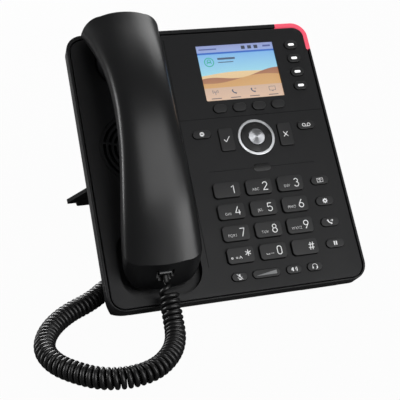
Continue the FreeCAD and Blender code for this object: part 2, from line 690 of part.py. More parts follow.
def front_cover():
    body = soften(cover_seat(0, -COVER_THICK, 0), 0, COVER_ROUND)
    cups = pocket_solids(POCKET_WALL)
    body = body.fuse(cups.cut(box(-HALF, HALF, 0, HOUSING_LENGTH + 5, -COVER_THICK / 2, 2)))
    room = housing_block(SHELL_WALL)
    for u, v in SCREW_PLACES:
        pillar = disc(u, v, POST_RADIUS, -FAR, -COVER_THICK / 2)
        body = body.fuse(pillar.common(room.fuse(disc(u, v, POST_RADIUS, -SHELL_WALL - 1, 0))))
    body = body.cut(pocket_solids(0))
    body = body.cut(disc(HANDSET_U, DISH_V, DISH_RADIUS, -DISH_DEPTH, 1))
    body = body.cut(light_corner(LIGHT_GAP, -LIGHT_DEPTH, 1))
    body = body.cut(grille_slots())
    body = body.cut(circle_groove(SPEAKER_U, SPEAKER_V, GRILLE_CIRCLE))
    for line in engraved_lines():
        body = body.cut(line)
    for name in KEY_SHAPES:
        u, v, width, height, corner, rise = KEY_SHAPES[name]
        body = body.cut(pad(u, v, width, height, corner, -COVER_THICK - 1, 1, KEY_GAP))
    body = body.cut(pad(VOLUME_U, LOWER_ROW_V, VOLUME_WIDTH, LOWER_KEY_HEIGHT, VOLUME_CORNER,
                        -COVER_THICK - 1, 1, KEY_GAP))
    body = body.cut(disc(NAV_U, NAV_V, NAV_RING_OUTER, -COVER_THICK - 1, 1))
    body = body.cut(slab(SCREEN_LEFT, SCREEN_RIGHT, SCREEN_LOW, SCREEN_HIGH, SCREEN_CORNER,
                         -COVER_THICK - 1, 1))
    rebate = WINDOW_MARGIN + WINDOW_FIT
    body = body.cut(slab(SCREEN_LEFT - rebate, SCREEN_RIGHT + rebate, SCREEN_LOW - rebate,
                         SCREEN_HIGH + rebate, SCREEN_CORNER, -COVER_THICK - 1, -WINDOW_DEPTH))
    body = body.cut(pad(SENSOR_U, SENSOR_V, SENSOR_WIDTH, SENSOR_HEIGHT, SENSOR_HEIGHT / 2,
                        -COVER_THICK - 1, 1))
    body = body.cut(disc(HANDSET_U, HOOK_SENSOR_V, HOOK_SENSOR_RADIUS, -FAR, 1))
    for u, v in SCREW_PLACES:
        head = screw_head_level(v)
        body = body.cut(disc(u, v, SCREW_RADIUS + SCREW_CLEARANCE, -FAR,
                             head + SCREW_LENGTH + SCREW_TIP_GAP))
    return body.removeSplitter()


# ---------------------------------------------------------------- keys

def key_shapes():
    """Place, size, corner and rise of every key that is pushed straight in."""
    shapes = {}
    for row, names in enumerate(DIAL_NAMES):
        for column, name in enumerate(names):
            shapes[name] = (DIAL_LEFT_U + column * DIAL_PITCH_U, DIAL_TOP_V - row * DIAL_PITCH_V,
                            DIAL_WIDTH, DIAL_HEIGHT, DIAL_CORNER, DIAL_RISE)
        shapes[SIDE_NAMES[row]] = (SIDE_KEY_U, DIAL_TOP_V - row * DIAL_PITCH_V, SIDE_KEY_WIDTH,
                                   SIDE_KEY_HEIGHT, SIDE_KEY_HEIGHT / 2, SMALL_RISE)
    for index in range(4):
        shapes["soft_key_%d" % (index + 1)] = (
            SOFT_KEY_LEFT_U + index * SOFT_KEY_PITCH, SOFT_KEY_V, SOFT_KEY_WIDTH,
            SOFT_KEY_HEIGHT, SOFT_KEY_HEIGHT / 2, SMALL_RISE)
        shapes["line_key_%d" % (index + 1)] = (
            LINE_KEY_U, LINE_KEY_TOP_V - index * LINE_KEY_PITCH, LINE_KEY_WIDTH,
            LINE_KEY_HEIGHT, LINE_KEY_HEIGHT / 2, SMALL_RISE)
    for name, side in (("confirm_key", -1), ("cancel_key", 1)):
        shapes[name] = (NAV_U + side * CHECK_KEY_REACH, NAV_V, CHECK_KEY_WIDTH, CHECK_KEY_HEIGHT,
                        CHECK_KEY_CORNER, SMALL_RISE)
    for name, u in (("do_not_disturb_key", NAV_U - NOTICE_LEFT_REACH), ("voicemail_key", SIDE_KEY_U)):
        shapes[name] = (u, NOTICE_V, NOTICE_KEY_WIDTH, NOTICE_KEY_HEIGHT,
                        NOTICE_KEY_HEIGHT / 2, SMALL_RISE)
    for name, shift in LOWER_KEYS:
        shapes[name] = (DIAL_LEFT_U + shift, LOWER_ROW_V, LOWER_KEY_WIDTH, LOWER_KEY_HEIGHT,
                        LOWER_KEY_HEIGHT / 2, SMALL_RISE)
    return shapes


KEY_SHAPES = key_shapes()


def key_cap(u, v, width, height, corner, rise, drop=0.0):
    """A cap with a flange that keeps it behind the front cover."""
    low = FLANGE_LOW - drop
    cap = soften(pad(u, v, width, height, corner, low, rise), rise, KEY_ROUND)
    flange = pad(u, v, width, height, corner, low, FLANGE_TOP - drop, FLANGE_MARGIN)
    return cap.fuse(flange).removeSplitter()


def volume_rocker():
    """A long cap that rocks about its middle, with its flange lower to leave room for the swing."""
    return key_cap(VOLUME_U, LOWER_ROW_V, VOLUME_WIDTH, LOWER_KEY_HEIGHT, VOLUME_CORNER, SMALL_RISE,
                   ROCK_ROOM)


def navigation_ring():
    """The bright ring set in the cover round the navigation disc."""
    outer = soften(disc(NAV_U, NAV_V, NAV_RING_OUTER, -COVER_THICK, NAV_RING_RISE), NAV_RING_RISE,
                   NAV_RING_ROUND)
    return outer.cut(disc(NAV_U, NAV_V, NAV_RING_INNER, -FAR, 5))


def navigation_disc():
    """The four-way disc: its skirt rests over the rocker plate."""
    body = soften(disc(NAV_U, NAV_V, NAV_DISC_RADIUS, NAV_DISC_LOW, NAV_DISC_RISE), NAV_DISC_RISE,
                  NAV_DISC_ROUND)
    return body.cut(disc(NAV_U, NAV_V, NAV_DISC_BORE, -FAR, 5))


def navigation_rocker():
    """The plate under the disc that passes its tilt on to the contacts."""
    top = NAV_DISC_LOW - ROCKER_DROP
    body = disc(NAV_U, NAV_V, ROCKER_OUTER, top - ROCKER_THICK, top)
    return body.cut(disc(NAV_U, NAV_V, ROCKER_BORE, -FAR, 5))


def ok_key():
    """The round key in the middle of the navigation disc."""
    cap = soften(disc(NAV_U, NAV_V, OK_RADIUS, FLANGE_LOW, OK_RISE), OK_RISE, OK_ROUND)
    return cap.fuse(disc(NAV_U, NAV_V, OK_RADIUS + FLANGE_MARGIN, FLANGE_LOW, FLANGE_TOP)).removeSplitter()


# ---------------------------------------------------------------- front face inserts

def message_light():
    body = light_corner(0, -LIGHT_DEPTH, 0)
    outer = []
    for edge in body.Edges:
        limits = edge.BoundBox
        flat = abs(limits.ZMin) < 1e-4 and abs(limits.ZMax) < 1e-4
        on_side = limits.XMax > HALF - 0.01 and limits.XMin > HALF - CORNER_RADIUS - 0.1
        on_top = limits.YMax > HOUSING_LENGTH - 0.01 and limits.YMin > HOUSING_LENGTH - 0.1
        if flat and (on_side or on_top):
            outer.append(edge)
    return body.makeFillet(EDGE_ROUND, outer)


def display_window():
    grow = WINDOW_MARGIN
    return slab(SCREEN_LEFT - grow, SCREEN_RIGHT + grow, SCREEN_LOW - grow, SCREEN_HIGH + grow,
                SCREEN_CORNER, -WINDOW_DEPTH - WINDOW_THICK, -WINDOW_DEPTH)


def display_module():
    """Glass cell against the window, with its backlight frame down to the board."""
    cell = box(SCREEN_LEFT - CELL_MARGIN, SCREEN_RIGHT + CELL_MARGIN, SCREEN_LOW - CELL_MARGIN,
               SCREEN_HIGH + CELL_MARGIN, -COVER_THICK, -WINDOW_DEPTH - WINDOW_THICK)
    frame = box(SCREEN_LEFT - MODULE_MARGIN, SCREEN_RIGHT + MODULE_MARGIN, SCREEN_LOW - MODULE_MARGIN_LOW,
                SCREEN_HIGH + MODULE_MARGIN, BOARD_FACE, -COVER_THICK)
    return cell.fuse(frame).removeSplitter()


def sensor_window():
    lens = pad(SENSOR_U, SENSOR_V, SENSOR_WIDTH, SENSOR_HEIGHT, SENSOR_HEIGHT / 2, -COVER_THICK, SENSOR_RISE)
    return soften(lens, SENSOR_RISE, SENSOR_ROUND)


def hook_sensor():
    """A round sensor lens in the floor of the mouth pocket."""
    return disc(HANDSET_U, HOOK_SENSOR_V, HOOK_SENSOR_RADIUS, POCKET_FLOOR - POCKET_WALL, POCKET_FLOOR)


# ---------------------------------------------------------------- inside the housing

def keypad_mat():
    """Rubber sheet with a low dome under each key."""
    low = SCREEN_LOW - MODULE_MARGIN_LOW - MAT_GAP
    sheet = box(BOARD_LEFT + MAT_INSET, MAT_RIGHT, BOARD_BOTTOM + MAT_INSET, low, BOARD_FACE, MAT_TOP)
    column = box(SCREEN_RIGHT + MODULE_MARGIN + MAT_GAP, MAT_RIGHT, low - 1, BOARD_TOP - MAT_INSET,
                 BOARD_FACE, MAT_TOP)
    body = sheet.fuse(column)
    for name in KEY_SHAPES:
        u, v, width, height, corner, rise = KEY_SHAPES[name]
        body = body.fuse(disc(u, v, DOME_RADIUS, MAT_TOP - MAT_THICK / 2,
                               FLANGE_LOW - KEY_TRAVEL - DOME_GAP))
    for u, v in SCREW_PLACES:
        body = body.cut(disc(u, v, POST_RADIUS + MAT_GAP, -FAR, 0))
    return body.removeSplitter()


def main_board():
    """Printed circuit board with a leg out to the sockets."""
    body = box(BOARD_LEFT, BOARD_RIGHT, BOARD_BOTTOM, BOARD_TOP, BOARD_BACK, BOARD_FACE)
    body = body.fuse(box(-HALF + BOARD_LEG_TO_EDGE, BOARD_LEFT + 1, BOARD_LEG_LOW, BOARD_LEG_HIGH,
                         BOARD_BACK, BOARD_FACE))
    for right, up, size, height in BOARD_CHIPS:
        u = BOARD_LEFT + right
        body = body.fuse(box(u, u + size, up, up + size, BOARD_BACK - height, BOARD_BACK))
    for u, v in SCREW_PLACES:
        body = body.cut(disc(u, v, POST_RADIUS + MAT_GAP, -FAR, 0))
    return body.removeSplitter()


def loudspeaker():
    """A round frame with a hollow cone, a basket and a magnet behind it."""
    back = -COVER_THICK - SPEAKER_FRAME_THICK
    frame = disc(SPEAKER_U, SPEAKER_V, SPEAKER_FRAME_RADIUS, back, -COVER_THICK)
    basket = Part.makeCone(SPEAKER_MAGNET_RADIUS, SPEAKER_FRAME_RADIUS - 2, SPEAKER_BASKET_DEPTH,
                           Vector(SPEAKER_U, SPEAKER_V, back - SPEAKER_BASKET_DEPTH))
    magnet = disc(SPEAKER_U, SPEAKER_V, SPEAKER_MAGNET_RADIUS, -COVER_THICK - SPEAKER_DEPTH, back)
    cone = Part.makeCone(SPEAKER_CONE_FLOOR, GRILLE_CIRCLE - 1.5, SPEAKER_CONE_DEPTH,
                         Vector(SPEAKER_U, SPEAKER_V, -COVER_THICK - SPEAKER_CONE_DEPTH))
    return frame.fuse(basket).fuse(magnet).cut(cone).removeSplitter()


def rear_sockets():
    """Two network sockets and two cord jacks, all facing down the slope."""
    solids = []
    for u, outer, mouth, reach in socket_list():
        body = box(u - outer[0] / 2, u + outer[0] / 2, BAY_HIGH, BAY_HIGH + SOCKET_DEPTH,
                   SOCKET_LEVEL - outer[1] / 2, BOARD_BACK)
        body = body.cut(box(u - mouth[0] / 2, u + mouth[0] / 2, BAY_HIGH - 1, BAY_HIGH + reach,
                            SOCKET_LEVEL - mouth[1] / 2, SOCKET_LEVEL + mouth[1] / 2))
        solids.append(body)
    return Part.makeCompound(solids)


def housing_screws():
    solids = []
    for u, v in SCREW_PLACES:
        head = screw_head_level(v)
        screw = disc(u, v, SCREW_HEAD_RADIUS, head - SCREW_HEAD_THICK, head)
        floor = head - SCREW_HEAD_THICK
        long, thin = CROSS_LENGTH / 2, CROSS_WIDTH / 2
        cross = box(u - long, u + long, v - thin, v + thin, floor - 1, floor + CROSS_DEPTH)
        cross = cross.fuse(box(u - thin, u + thin, v - long, v + long, floor - 1, floor + CROSS_DEPTH))
        shank = disc(u, v, SCREW_RADIUS, head, head + SCREW_LENGTH)
        solids.append(screw.fuse(shank).cut(cross).removeSplitter())
    return Part.makeCompound(solids)


# ---------------------------------------------------------------- handset

def superellipse_wire(v, half_width, level, top, low, crown_power):
    """A closed section: flatter crown above the widest level, fuller belly below it."""
    points = []
    for step in range(20):
        angle = math.radians(step * 18)
        power = crown_power if math.sin(angle) >= 0 else BELLY_POWER
        reach = (top - level) if math.sin(angle) >= 0 else (level - low)
        c = math.cos(angle)
        s = math.sin(angle)
        u = HANDSET_U + half_width * math.copysign(abs(c) ** (2 / power), c)
        n = level + reach * math.copysign(abs(s) ** (2 / power), s)
        points.append(Vector(u, v, n))
    curve = Part.BSplineCurve()
    curve.interpolate(Points=points, PeriodicFlag=True)
    return Part.Wire([curve.toShape()])


def end_face(plan, inset, place):
    """What lies past an end of the handset: a wide strip whose near side is three tangent-like arcs."""
    (wide, back), (knee, knee_back), (flat, flat_back) = plan
    wide = wide - inset
    knee = knee - inset * 0.7
    corners = [(wide, back), (END_STRIP, back), (END_STRIP, -END_STRIP)]
    mirrored = [(-u, v) for u, v in reversed(corners)]
    arcs = [((wide, back), (knee, knee_back), (flat, flat_back)),
            ((flat, flat_back), (0, 0), (-flat, flat_back)),
            ((-flat, flat_back), (-knee, knee_back), (-wide, back))]
    rim = corners + mirrored
    edges = [Part.LineSegment(place(*a), place(*b)).toShape() for a, b in zip(rim, rim[1:])]
    edges += [Part.Arc(*[place(*p) for p in arc]).toShape() for arc in arcs]
    return Part.Face(Part.Wire(Part.__sortEdges__(edges)))


def chin_tool(inset):
    """What is cut away below the handset's slanting lower end."""
    start = HANDSET_CHIN_V + inset - END_DROP * CHIN_SLOPE
    face = end_face(CHIN_PLAN, inset, lambda u, back: Vector(HANDSET_U + u, start + back, -END_DROP))
    return face.extrude(Vector(0, FAR * CHIN_SLOPE, FAR))


def crown_tool(inset):
    """What is cut away beyond the handset's upper end, which leans back by a little."""
    start = CROWN_END_V - inset + END_DROP * CROWN_SLOPE
    face = end_face(CROWN_PLAN, inset, lambda u, back: Vector(HANDSET_U + u, start - back, -END_DROP))
    return face.extrude(Vector(0, -(FAR + END_DROP) * CROWN_SLOPE, FAR + END_DROP))


def handset_form(inset):
    """The handset's arched body, drawn in by a wall thickness."""
    wires = []
    for v, half_width, level, top, low, crown_power in HANDSET_STATIONS:
        wires.append(superellipse_wire(v, half_width - inset, level, top - inset, low + inset, crown_power))
    body = Part.makeLoft(wires, True, False)
    return body.cut(chin_tool(inset)).cut(crown_tool(inset))


def above_parting(shift):
    """Everything above the line where the handset's two shells meet."""
    points = [Vector(-100, station[0], station[2] + shift) for station in HANDSET_STATIONS]
    curve = Part.BSplineCurve()
    curve.interpolate(Points=points)
    first = points[0]
    last = points[-1]
    edges = [
        curve.toShape(),
        Part.LineSegment(last, Vector(-100, last.y, 90)).toShape(),
        Part.LineSegment(Vector(-100, last.y, 90), Vector(-100, first.y, 90)).toShape(),
        Part.LineSegment(Vector(-100, first.y, 90), first).toShape(),
    ]
    face = Part.Face(Part.Wire(Part.__sortEdges__(edges)))
    return face.extrude(Vector(100, 0, 0))


def end_blocks(inset):
    """The mouthpiece and the earpiece, which stand down into the cradle."""
    floor = HANDSET_SEAT + inset
    half = MOUTH_BLOCK_HALF - inset
    mouth = slab(HANDSET_U - half, HANDSET_U + half, MOUTH_BLOCK_LOW + inset, MOUTH_BLOCK_HIGH - inset,
                 MOUTH_BLOCK_CORNER - inset, floor, HANDSET_JACK_LEVEL)
    ear = disc(HANDSET_U, EAR_POCKET_V, EAR_BLOCK_RADIUS - inset, floor, 20)
    return mouth.fuse(ear)


def jack_axis_box(grow, v0, v1):
    width = HANDSET_JACK[0] / 2 + grow
    height = HANDSET_JACK[1] / 2 + grow
    return box(HANDSET_U - width, HANDSET_U + width, v0, v1,
               HANDSET_JACK_LEVEL - height, HANDSET_JACK_LEVEL + height)


def handset_shells():
    """Both shells of the handset, hollow, with the cord's jack in the lower one."""
    outer = handset_form(0)
    inner = handset_form(HANDSET_WALL)
    upper = above_parting(0)
    top = outer.common(upper).cut(inner)
    blocks = end_blocks(0).cut(chin_tool(0)).cut(upper)
    lower = outer.cut(upper).fuse(blocks)
    hollow = inner.cut(above_parting(1)).fuse(end_blocks(HANDSET_WALL).cut(chin_tool(HANDSET_WALL)))
    bottom = lower.cut(hollow)
    sleeve = jack_axis_box(HANDSET_JACK_WALL, 0, HANDSET_JACK_END_V + HANDSET_JACK_WALL)
    bottom = bottom.fuse(sleeve.common(outer).cut(upper))
    tunnel = jack_axis_box(0, 0, HANDSET_JACK_END_V)
    bottom = bottom.cut(tunnel)
    top = top.cut(sleeve)
    for u, v in sound_holes():
        bottom = bottom.cut(disc(u, v, SOUND_HOLE_RADIUS, HANDSET_SEAT - 1,
                                 HANDSET_SEAT + HANDSET_WALL + 0.01))
    return top, bottom


def sound_holes():
    """Rings of holes over the earpiece and a short row over the microphone."""
    places = [(HANDSET_U + step * SOUND_HOLE_PITCH, MICROPHONE_V) for step in (-1, 0, 1)]
    for ring in range(3):
        count = 6 * ring + 1
        for step in range(count):
            angle = math.radians(step * 360 / count)
            places.append((HANDSET_U + SOUND_HOLE_PITCH * ring * math.cos(angle),
                           EAR_POCKET_V + SOUND_HOLE_PITCH * ring * math.sin(angle)))
    return places


def earpiece_receiver():
    floor = HANDSET_SEAT + HANDSET_WALL
    body = disc(HANDSET_U, EAR_POCKET_V, RECEIVER_RADIUS, floor, floor + RECEIVER_THICK)
    hub_radius, hub_height = RECEIVER_HUB
    return body.fuse(disc(HANDSET_U, EAR_POCKET_V, hub_radius, floor, floor + RECEIVER_THICK + hub_height))


def handset_microphone():
    floor = HANDSET_SEAT + HANDSET_WALL
    return disc(HANDSET_U, MICROPHONE_V, MICROPHONE_RADIUS, floor, floor + MICROPHONE_THICK)


# ---------------------------------------------------------------- cord

def cord_tube(points, radius, label):
    """A round tube on straight runs joined by tangent arcs, each as large as its runs allow."""
    corners = [Vector(*p) for p in points]
    edges = []
    here = corners[0]
    radii = []
    for before, corner, after in zip(corners, corners[1:], corners[2:]):
        back = (before - corner)
        ahead = (after - corner)
        turn = math.pi - back.getAngle(ahead)
        run = min(back.Length, ahead.Length)
        reach = 0.45 * run
        radii.append(reach / math.tan(turn / 2))
        back.normalize()
        ahead.normalize()
        start = corner + back * reach
        end = corner + ahead * reach
        middle = back + ahead
        middle.normalize()
        to_centre = radii[-1] / math.cos(turn / 2)
        apex = corner + middle * (to_centre - radii[-1])
        edges.append(Part.LineSegment(here, start).toShape())
        edges.append(Part.Arc(start, apex, end).toShape())
        here = end
    edges.append(Part.LineSegment(here, corners[-1]).toShape())
    path = Part.Wire(edges)
    first = corners[1] - corners[0]
    circle = Part.Wire([Part.makeCircle(radius, corners[0], first)])
    tube = path.makePipeShell([circle], True, False)
    share = tube.Volume / (math.pi * radius ** 2 * path.Length)
    print("%s length %.1f, radii %s, volume share %.4f"
          % (label, path.Length, [round(r, 1) for r in radii], share))
    return tube


def plug_body(u, level, end_v, length):
    """The block of a clear modular plug, its cord's end towards -v."""
    return box(u - PLUG_WIDTH / 2, u + PLUG_WIDTH / 2, end_v, end_v + length,
               level - PLUG_HEIGHT / 2, level + PLUG_HEIGHT / 2)


def handset_plug():
    return plug_body(HANDSET_U, HANDSET_JACK_LEVEL, HANDSET_PLUG_V, PLUG_LENGTH)


def base_plug():
    end = BAY_HIGH - BASE_PLUG_OUT
    block = plug_body(JACK_U[0], SOCKET_LEVEL, end, PLUG_LENGTH)
    boot = Part.makeCone(CORD_RADIUS + BOOT_WALL, BOOT_RADIUS, BOOT_LENGTH,
                         Vector(JACK_U[0], end - BOOT_LENGTH, SOCKET_LEVEL), Vector(0, 1, 0))
    return block.fuse(boot)


def cord_nodes(origin_y):
    """Straight cord at both ends and the fat tube that the coil fills, in the standing frame."""
    down = desk_point(0, -1, 0) - desk_point(0, 0, 0)
    shift = Vector(0, origin_y, 0)
    plug_end = desk_point(HANDSET_U, HANDSET_PLUG_V, HANDSET_JACK_LEVEL) + shift
    coil_start = desk_point(HANDSET_U, COIL_START_V, HANDSET_JACK_LEVEL) + shift
    first_corner = coil_start + down * COIL_START_RUN
    coil_points = [coil_start, first_corner] + COIL_ROUTE
    tail = Part.makeCylinder(CORD_RADIUS, plug_end.distanceToPoint(coil_start), plug_end, down)
    boot_end = desk_point(JACK_U[0], BAY_HIGH - BASE_PLUG_OUT - BOOT_LENGTH, SOCKET_LEVEL) + shift
    boot_run = boot_end + down * BOOT_RUN
    coil_end = Vector(*COIL_ROUTE[-1])
    along = coil_end - Vector(*COIL_ROUTE[-2])
    along.normalize()
    base_points = [coil_end, coil_end + along * TAIL_START_RUN] + TAIL_ROUTE + [boot_run, boot_end]
    print("handset tail", plug_end, coil_start)
    print("first corner", first_corner, "base end", boot_run, boot_end)
    return {
        "handset_tail": tail,
        "cord_coil": cord_tube(coil_points, COIL_RADIUS, "coil"),
        "base_tail": cord_tube(base_points, CORD_RADIUS, "base tail"),
    }


# ---------------------------------------------------------------- feet and stand

def stand_points():
    """Hinge axis and the foot's lower end in the standing frame."""
    hinge = desk_point(0, HINGE_V, -HINGE_DEPTH)
    foot = Vector(0, hinge.y + STAND_SPREAD, STAND_FOOT_HEIGHT)
    return hinge, foot


def base_feet():
    start, end = [desk_point(0, v, n) for v, n in land_points()]
    solids = []
    for side in (-1, 1):
        low = min(side * FOOT_INNER, side * FOOT_OUTER)
        high = max(side * FOOT_INNER, side * FOOT_OUTER)
        foot = slab(low, high, start.y + FOOT_MARGIN, end.y - FOOT_MARGIN, FOOT_CORNER, 0, FOOT_HEIGHT)
        solids.append(soften(foot, 0, FOOT_ROUND))
    return Part.makeCompound(solids)


def footstand():
    """A leaning plate with flared feet, a barrel with moulded pins and two ribs."""
    hinge, foot = stand_points()
    length = hinge.distanceToPoint(foot)
    tip = (STAND_TIP, STAND_TIP_RISE)
    shoulder = (STAND_NECK + STAND_SHOULDER[0], STAND_SHOULDER[1])
    neck = (STAND_NECK, STAND_NECK_START)

    def place(x, s):
        return Vector(x, 0, s)

    def half(side):
        return [
            Part.LineSegment(place(0, -4), place(side * STAND_FLAT, -4)).toShape(),
            Part.LineSegment(place(side * STAND_FLAT, -4), place(side * STAND_FLAT, 0)).toShape(),
            Part.LineSegment(place(side * STAND_FLAT, 0), place(side * (tip[0] - 1.5), 0.4)).toShape(),
            Part.Arc(place(side * (tip[0] - 1.5), 0.4), place(side * tip[0], 1.4),
                     place(side * (tip[0] - 0.9), tip[1])).toShape(),
            Part.LineSegment(place(side * (tip[0] - 0.9), tip[1]),
                             place(side * shoulder[0], shoulder[1])).toShape(),
            Part.Arc(place(side * shoulder[0], shoulder[1]), place(side * (neck[0] + 1.8), 30.5),
                     place(side * neck[0], neck[1])).toShape(),
            Part.LineSegment(place(side * neck[0], neck[1]), place(side * neck[0], length)).toShape(),
            Part.LineSegment(place(side * neck[0], length), place(0, length)).toShape(),
        ]

    face = Part.Face(Part.Wire(Part.__sortEdges__(half(1) + half(-1))))
    plate = face.extrude(Vector(0, STAND_THICK, 0))
    plate.translate(Vector(0, -STAND_THICK / 2, 0))
    for side in (-1, 1):
        plate = plate.fuse(box(side * RIB_U - RIB_THICK / 2, side * RIB_U + RIB_THICK / 2, 0,
                               STAND_THICK / 2 + RIB_DEPTH, RIB_START, length - RIB_TO_HINGE))
    plate = plate.fuse(Part.makeCylinder(BARREL_RADIUS, 2 * STAND_NECK, Vector(-STAND_NECK, 0, length),
                                         Vector(1, 0, 0)))
    pin_reach = STAND_NECK + EAR_GAP + EAR_THICK - PIN_END_GAP
    plate = plate.fuse(Part.makeCylinder(PIN_RADIUS, 2 * pin_reach, Vector(-pin_reach, 0, length),
                                         Vector(1, 0, 0)))
    lean = math.degrees(math.atan2(foot.y - hinge.y, hinge.z - foot.z))
    plate.rotate(Vector(0, 0, 0), Vector(1, 0, 0), lean)
    plate.translate(Vector(0, foot.y, foot.z))
    depth, height = STAND_BAR
    bar = slab(-STAND_FLAT, STAND_FLAT, foot.y - depth, foot.y + depth, 1.5, STAND_FOOT_HEIGHT,
               STAND_FOOT_HEIGHT + height)
    plate = plate.fuse(bar)
    below = box(-HOUSING_WIDTH, HOUSING_WIDTH, foot.y - FAR, foot.y + FAR, -FAR, STAND_FOOT_HEIGHT)
    return plate.cut(below).removeSplitter()


def stand_feet():
    foot = stand_points()[1]
    solids = []
    for side in (-1, 1):
        low = min(side * STAND_FOOT_INNER, side * STAND_FLAT)
        high = max(side * STAND_FOOT_INNER, side * STAND_FLAT)
        strip = slab(low, high, foot.y - STAND_PAD_HALF, foot.y + STAND_PAD_HALF, 1.4, 0, STAND_FOOT_HEIGHT)
        solids.append(soften(strip, 0, FOOT_ROUND))
    return Part.makeCompound(solids)


# ---------------------------------------------------------------- assembly

def panel_nodes():
    """Every node that is drawn in the panel frame."""
    handset_top, handset_bottom = handset_shells()
    nodes = {
        "back_shell": back_shell(),
        "front_cover": front_cover(),
        "message_light": message_light(),
        "display_window": display_window(),
        "display_module": display_module(),
        "sensor_window": sensor_window(),
        "hook_sensor": hook_sensor(),
        "navigation_ring": navigation_ring(),
        "navigation_rocker": navigation_rocker(),
        "navigation_disc": navigation_disc(),
        "ok_key": ok_key(),
        "volume_rocker": volume_rocker(),
        "keypad_mat": keypad_mat(),
        "main_board": main_board(),
        "loudspeaker": loudspeaker(),
        "rear_sockets": rear_sockets(),
        "housing_screws": housing_screws(),
        "handset_top_shell": handset_top,
        "handset_bottom_shell": handset_bottom,
        "earpiece_receiver": earpiece_receiver(),
        "handset_microphone": handset_microphone(),
        "handset_plug": handset_plug(),
        "base_plug": base_plug(),
    }
    for name, shape in KEY_SHAPES.items():
        nodes[name] = key_cap(*shape)
    return nodes


def main():
    os.makedirs("parts", exist_ok=True)
    nodes = {}
    for name, shape in panel_nodes().items():
        shape.rotate(Vector(0, 0, 0), Vector(1, 0, 0), TILT)
        shape.translate(Vector(0, 0, EDGE_HEIGHT))
        nodes[name] = shape
    nodes["base_feet"] = base_feet()
    nodes["footstand"] = footstand()
    nodes["stand_feet"] = stand_feet()
    limits = [shape.optimalBoundingBox() for name, shape in nodes.items()
              if name not in ("handset_plug", "base_plug")]
    front = min(limit.YMin for limit in limits)
    back = max(limit.YMax for limit in limits)
    origin_y = -(front + back) / 2
    for shape in nodes.values():
        shape.translate(Vector(0, origin_y, 0))
    nodes.update(cord_nodes(origin_y))
    print("origin shift %.3f, front %.2f, back %.2f" % (origin_y, front, back))
    for name, shape in nodes.items():
        if not shape.isValid():
            print("INVALID", name)
        shape.exportStep("parts/%s.step" % name)
        print("%-22s solids %d volume %.1f" % (name, len(shape.Solids), shape.Volume))
    print(len(nodes), "nodes")


main()
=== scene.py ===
import json
import math

import bpy
import numpy as np
from mathutils import Matrix


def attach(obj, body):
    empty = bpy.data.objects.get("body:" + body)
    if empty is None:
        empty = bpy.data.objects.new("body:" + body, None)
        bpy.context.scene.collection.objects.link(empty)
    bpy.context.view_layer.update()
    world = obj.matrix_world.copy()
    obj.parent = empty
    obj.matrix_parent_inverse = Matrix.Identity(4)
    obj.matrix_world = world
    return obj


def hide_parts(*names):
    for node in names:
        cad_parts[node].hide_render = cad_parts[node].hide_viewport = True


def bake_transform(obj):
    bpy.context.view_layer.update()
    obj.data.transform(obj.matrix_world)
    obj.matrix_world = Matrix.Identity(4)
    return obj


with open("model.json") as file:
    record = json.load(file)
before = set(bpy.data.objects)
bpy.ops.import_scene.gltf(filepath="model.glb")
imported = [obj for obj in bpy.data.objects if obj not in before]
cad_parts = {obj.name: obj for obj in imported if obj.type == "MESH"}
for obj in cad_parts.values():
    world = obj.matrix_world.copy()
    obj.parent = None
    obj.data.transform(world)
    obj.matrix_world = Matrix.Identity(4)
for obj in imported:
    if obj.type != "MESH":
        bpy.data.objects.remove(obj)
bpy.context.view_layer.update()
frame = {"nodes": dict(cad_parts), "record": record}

NODES = frame["nodes"]

# --- the front face's own frame, millimetres: u to the right, v up the slope, n out of the face ---
TILT = math.radians(46.0)
EDGE_HEIGHT = 12.5
ORIGIN_SHIFT = -95.637


def from_face(points):
    """Face coordinates (u, v, n) in millimetres, turned by the slope about X and lifted, in metres."""
    u, v, n = np.moveaxis(np.asarray(points, float), -1, 0)
    y = v * math.cos(TILT) - n * math.sin(TILT) + ORIGIN_SHIFT
    z = v * math.sin(TILT) + n * math.cos(TILT) + EDGE_HEIGHT
    return np.stack([u, y, z], axis=-1) / 1000.0


def to_face(points):
    """The inverse of from_face: metres in the row frame to millimetres in the face's own frame."""
    x, y, z = np.moveaxis(np.asarray(points, float) * 1000.0, -1, 0)
    y = y - ORIGIN_SHIFT
    z = z - EDGE_HEIGHT
    v = y * math.cos(TILT) + z * math.sin(TILT)
    n = z * math.cos(TILT) - y * math.sin(TILT)
    return np.stack([x, v, n], axis=-1)


def face_box(node):
    """Lowest and highest (u, v, n) of a CAD node, in millimetres."""
    mesh = NODES[node].data
    points = np.empty(len(mesh.vertices) * 3, np.float32)
    mesh.vertices.foreach_get("co", points)
    points = to_face(points.reshape(-1, 3))
    return points.min(axis=0), points.max(axis=0)


def face_top(node):
    """Middle of a node's box in u and v, and its highest n."""
    low, high = face_box(node)
    return (low[0] + high[0]) / 2, (low[1] + high[1]) / 2, high[2]


# --- camera ---
CAMERA_PLACE = (-0.1757, -0.56289, 0.3101)
CAMERA_RIGHT = (0.95724, -0.28892, 0.01501)
CAMERA_UP = (0.10845, 0.40646, 0.90721)
CAMERA_BACK = (-0.26820, -0.86680, 0.42041)
CAMERA_LENS = 81.0
CAMERA_SENSOR = 36.0


def place_camera():
    data = bpy.data.cameras.new("camera")
    data.lens = CAMERA_LENS
    data.sensor_width = CAMERA_SENSOR
    data.clip_start = 0.01
    camera = bpy.data.objects.new("camera", data)
    columns = zip(CAMERA_RIGHT, CAMERA_UP, CAMERA_BACK, CAMERA_PLACE)
    camera.matrix_world = Matrix([list(row) for row in columns] + [[0, 0, 0, 1]])
    bpy.context.scene.collection.objects.link(camera)
    bpy.context.scene.camera = camera


place_camera()


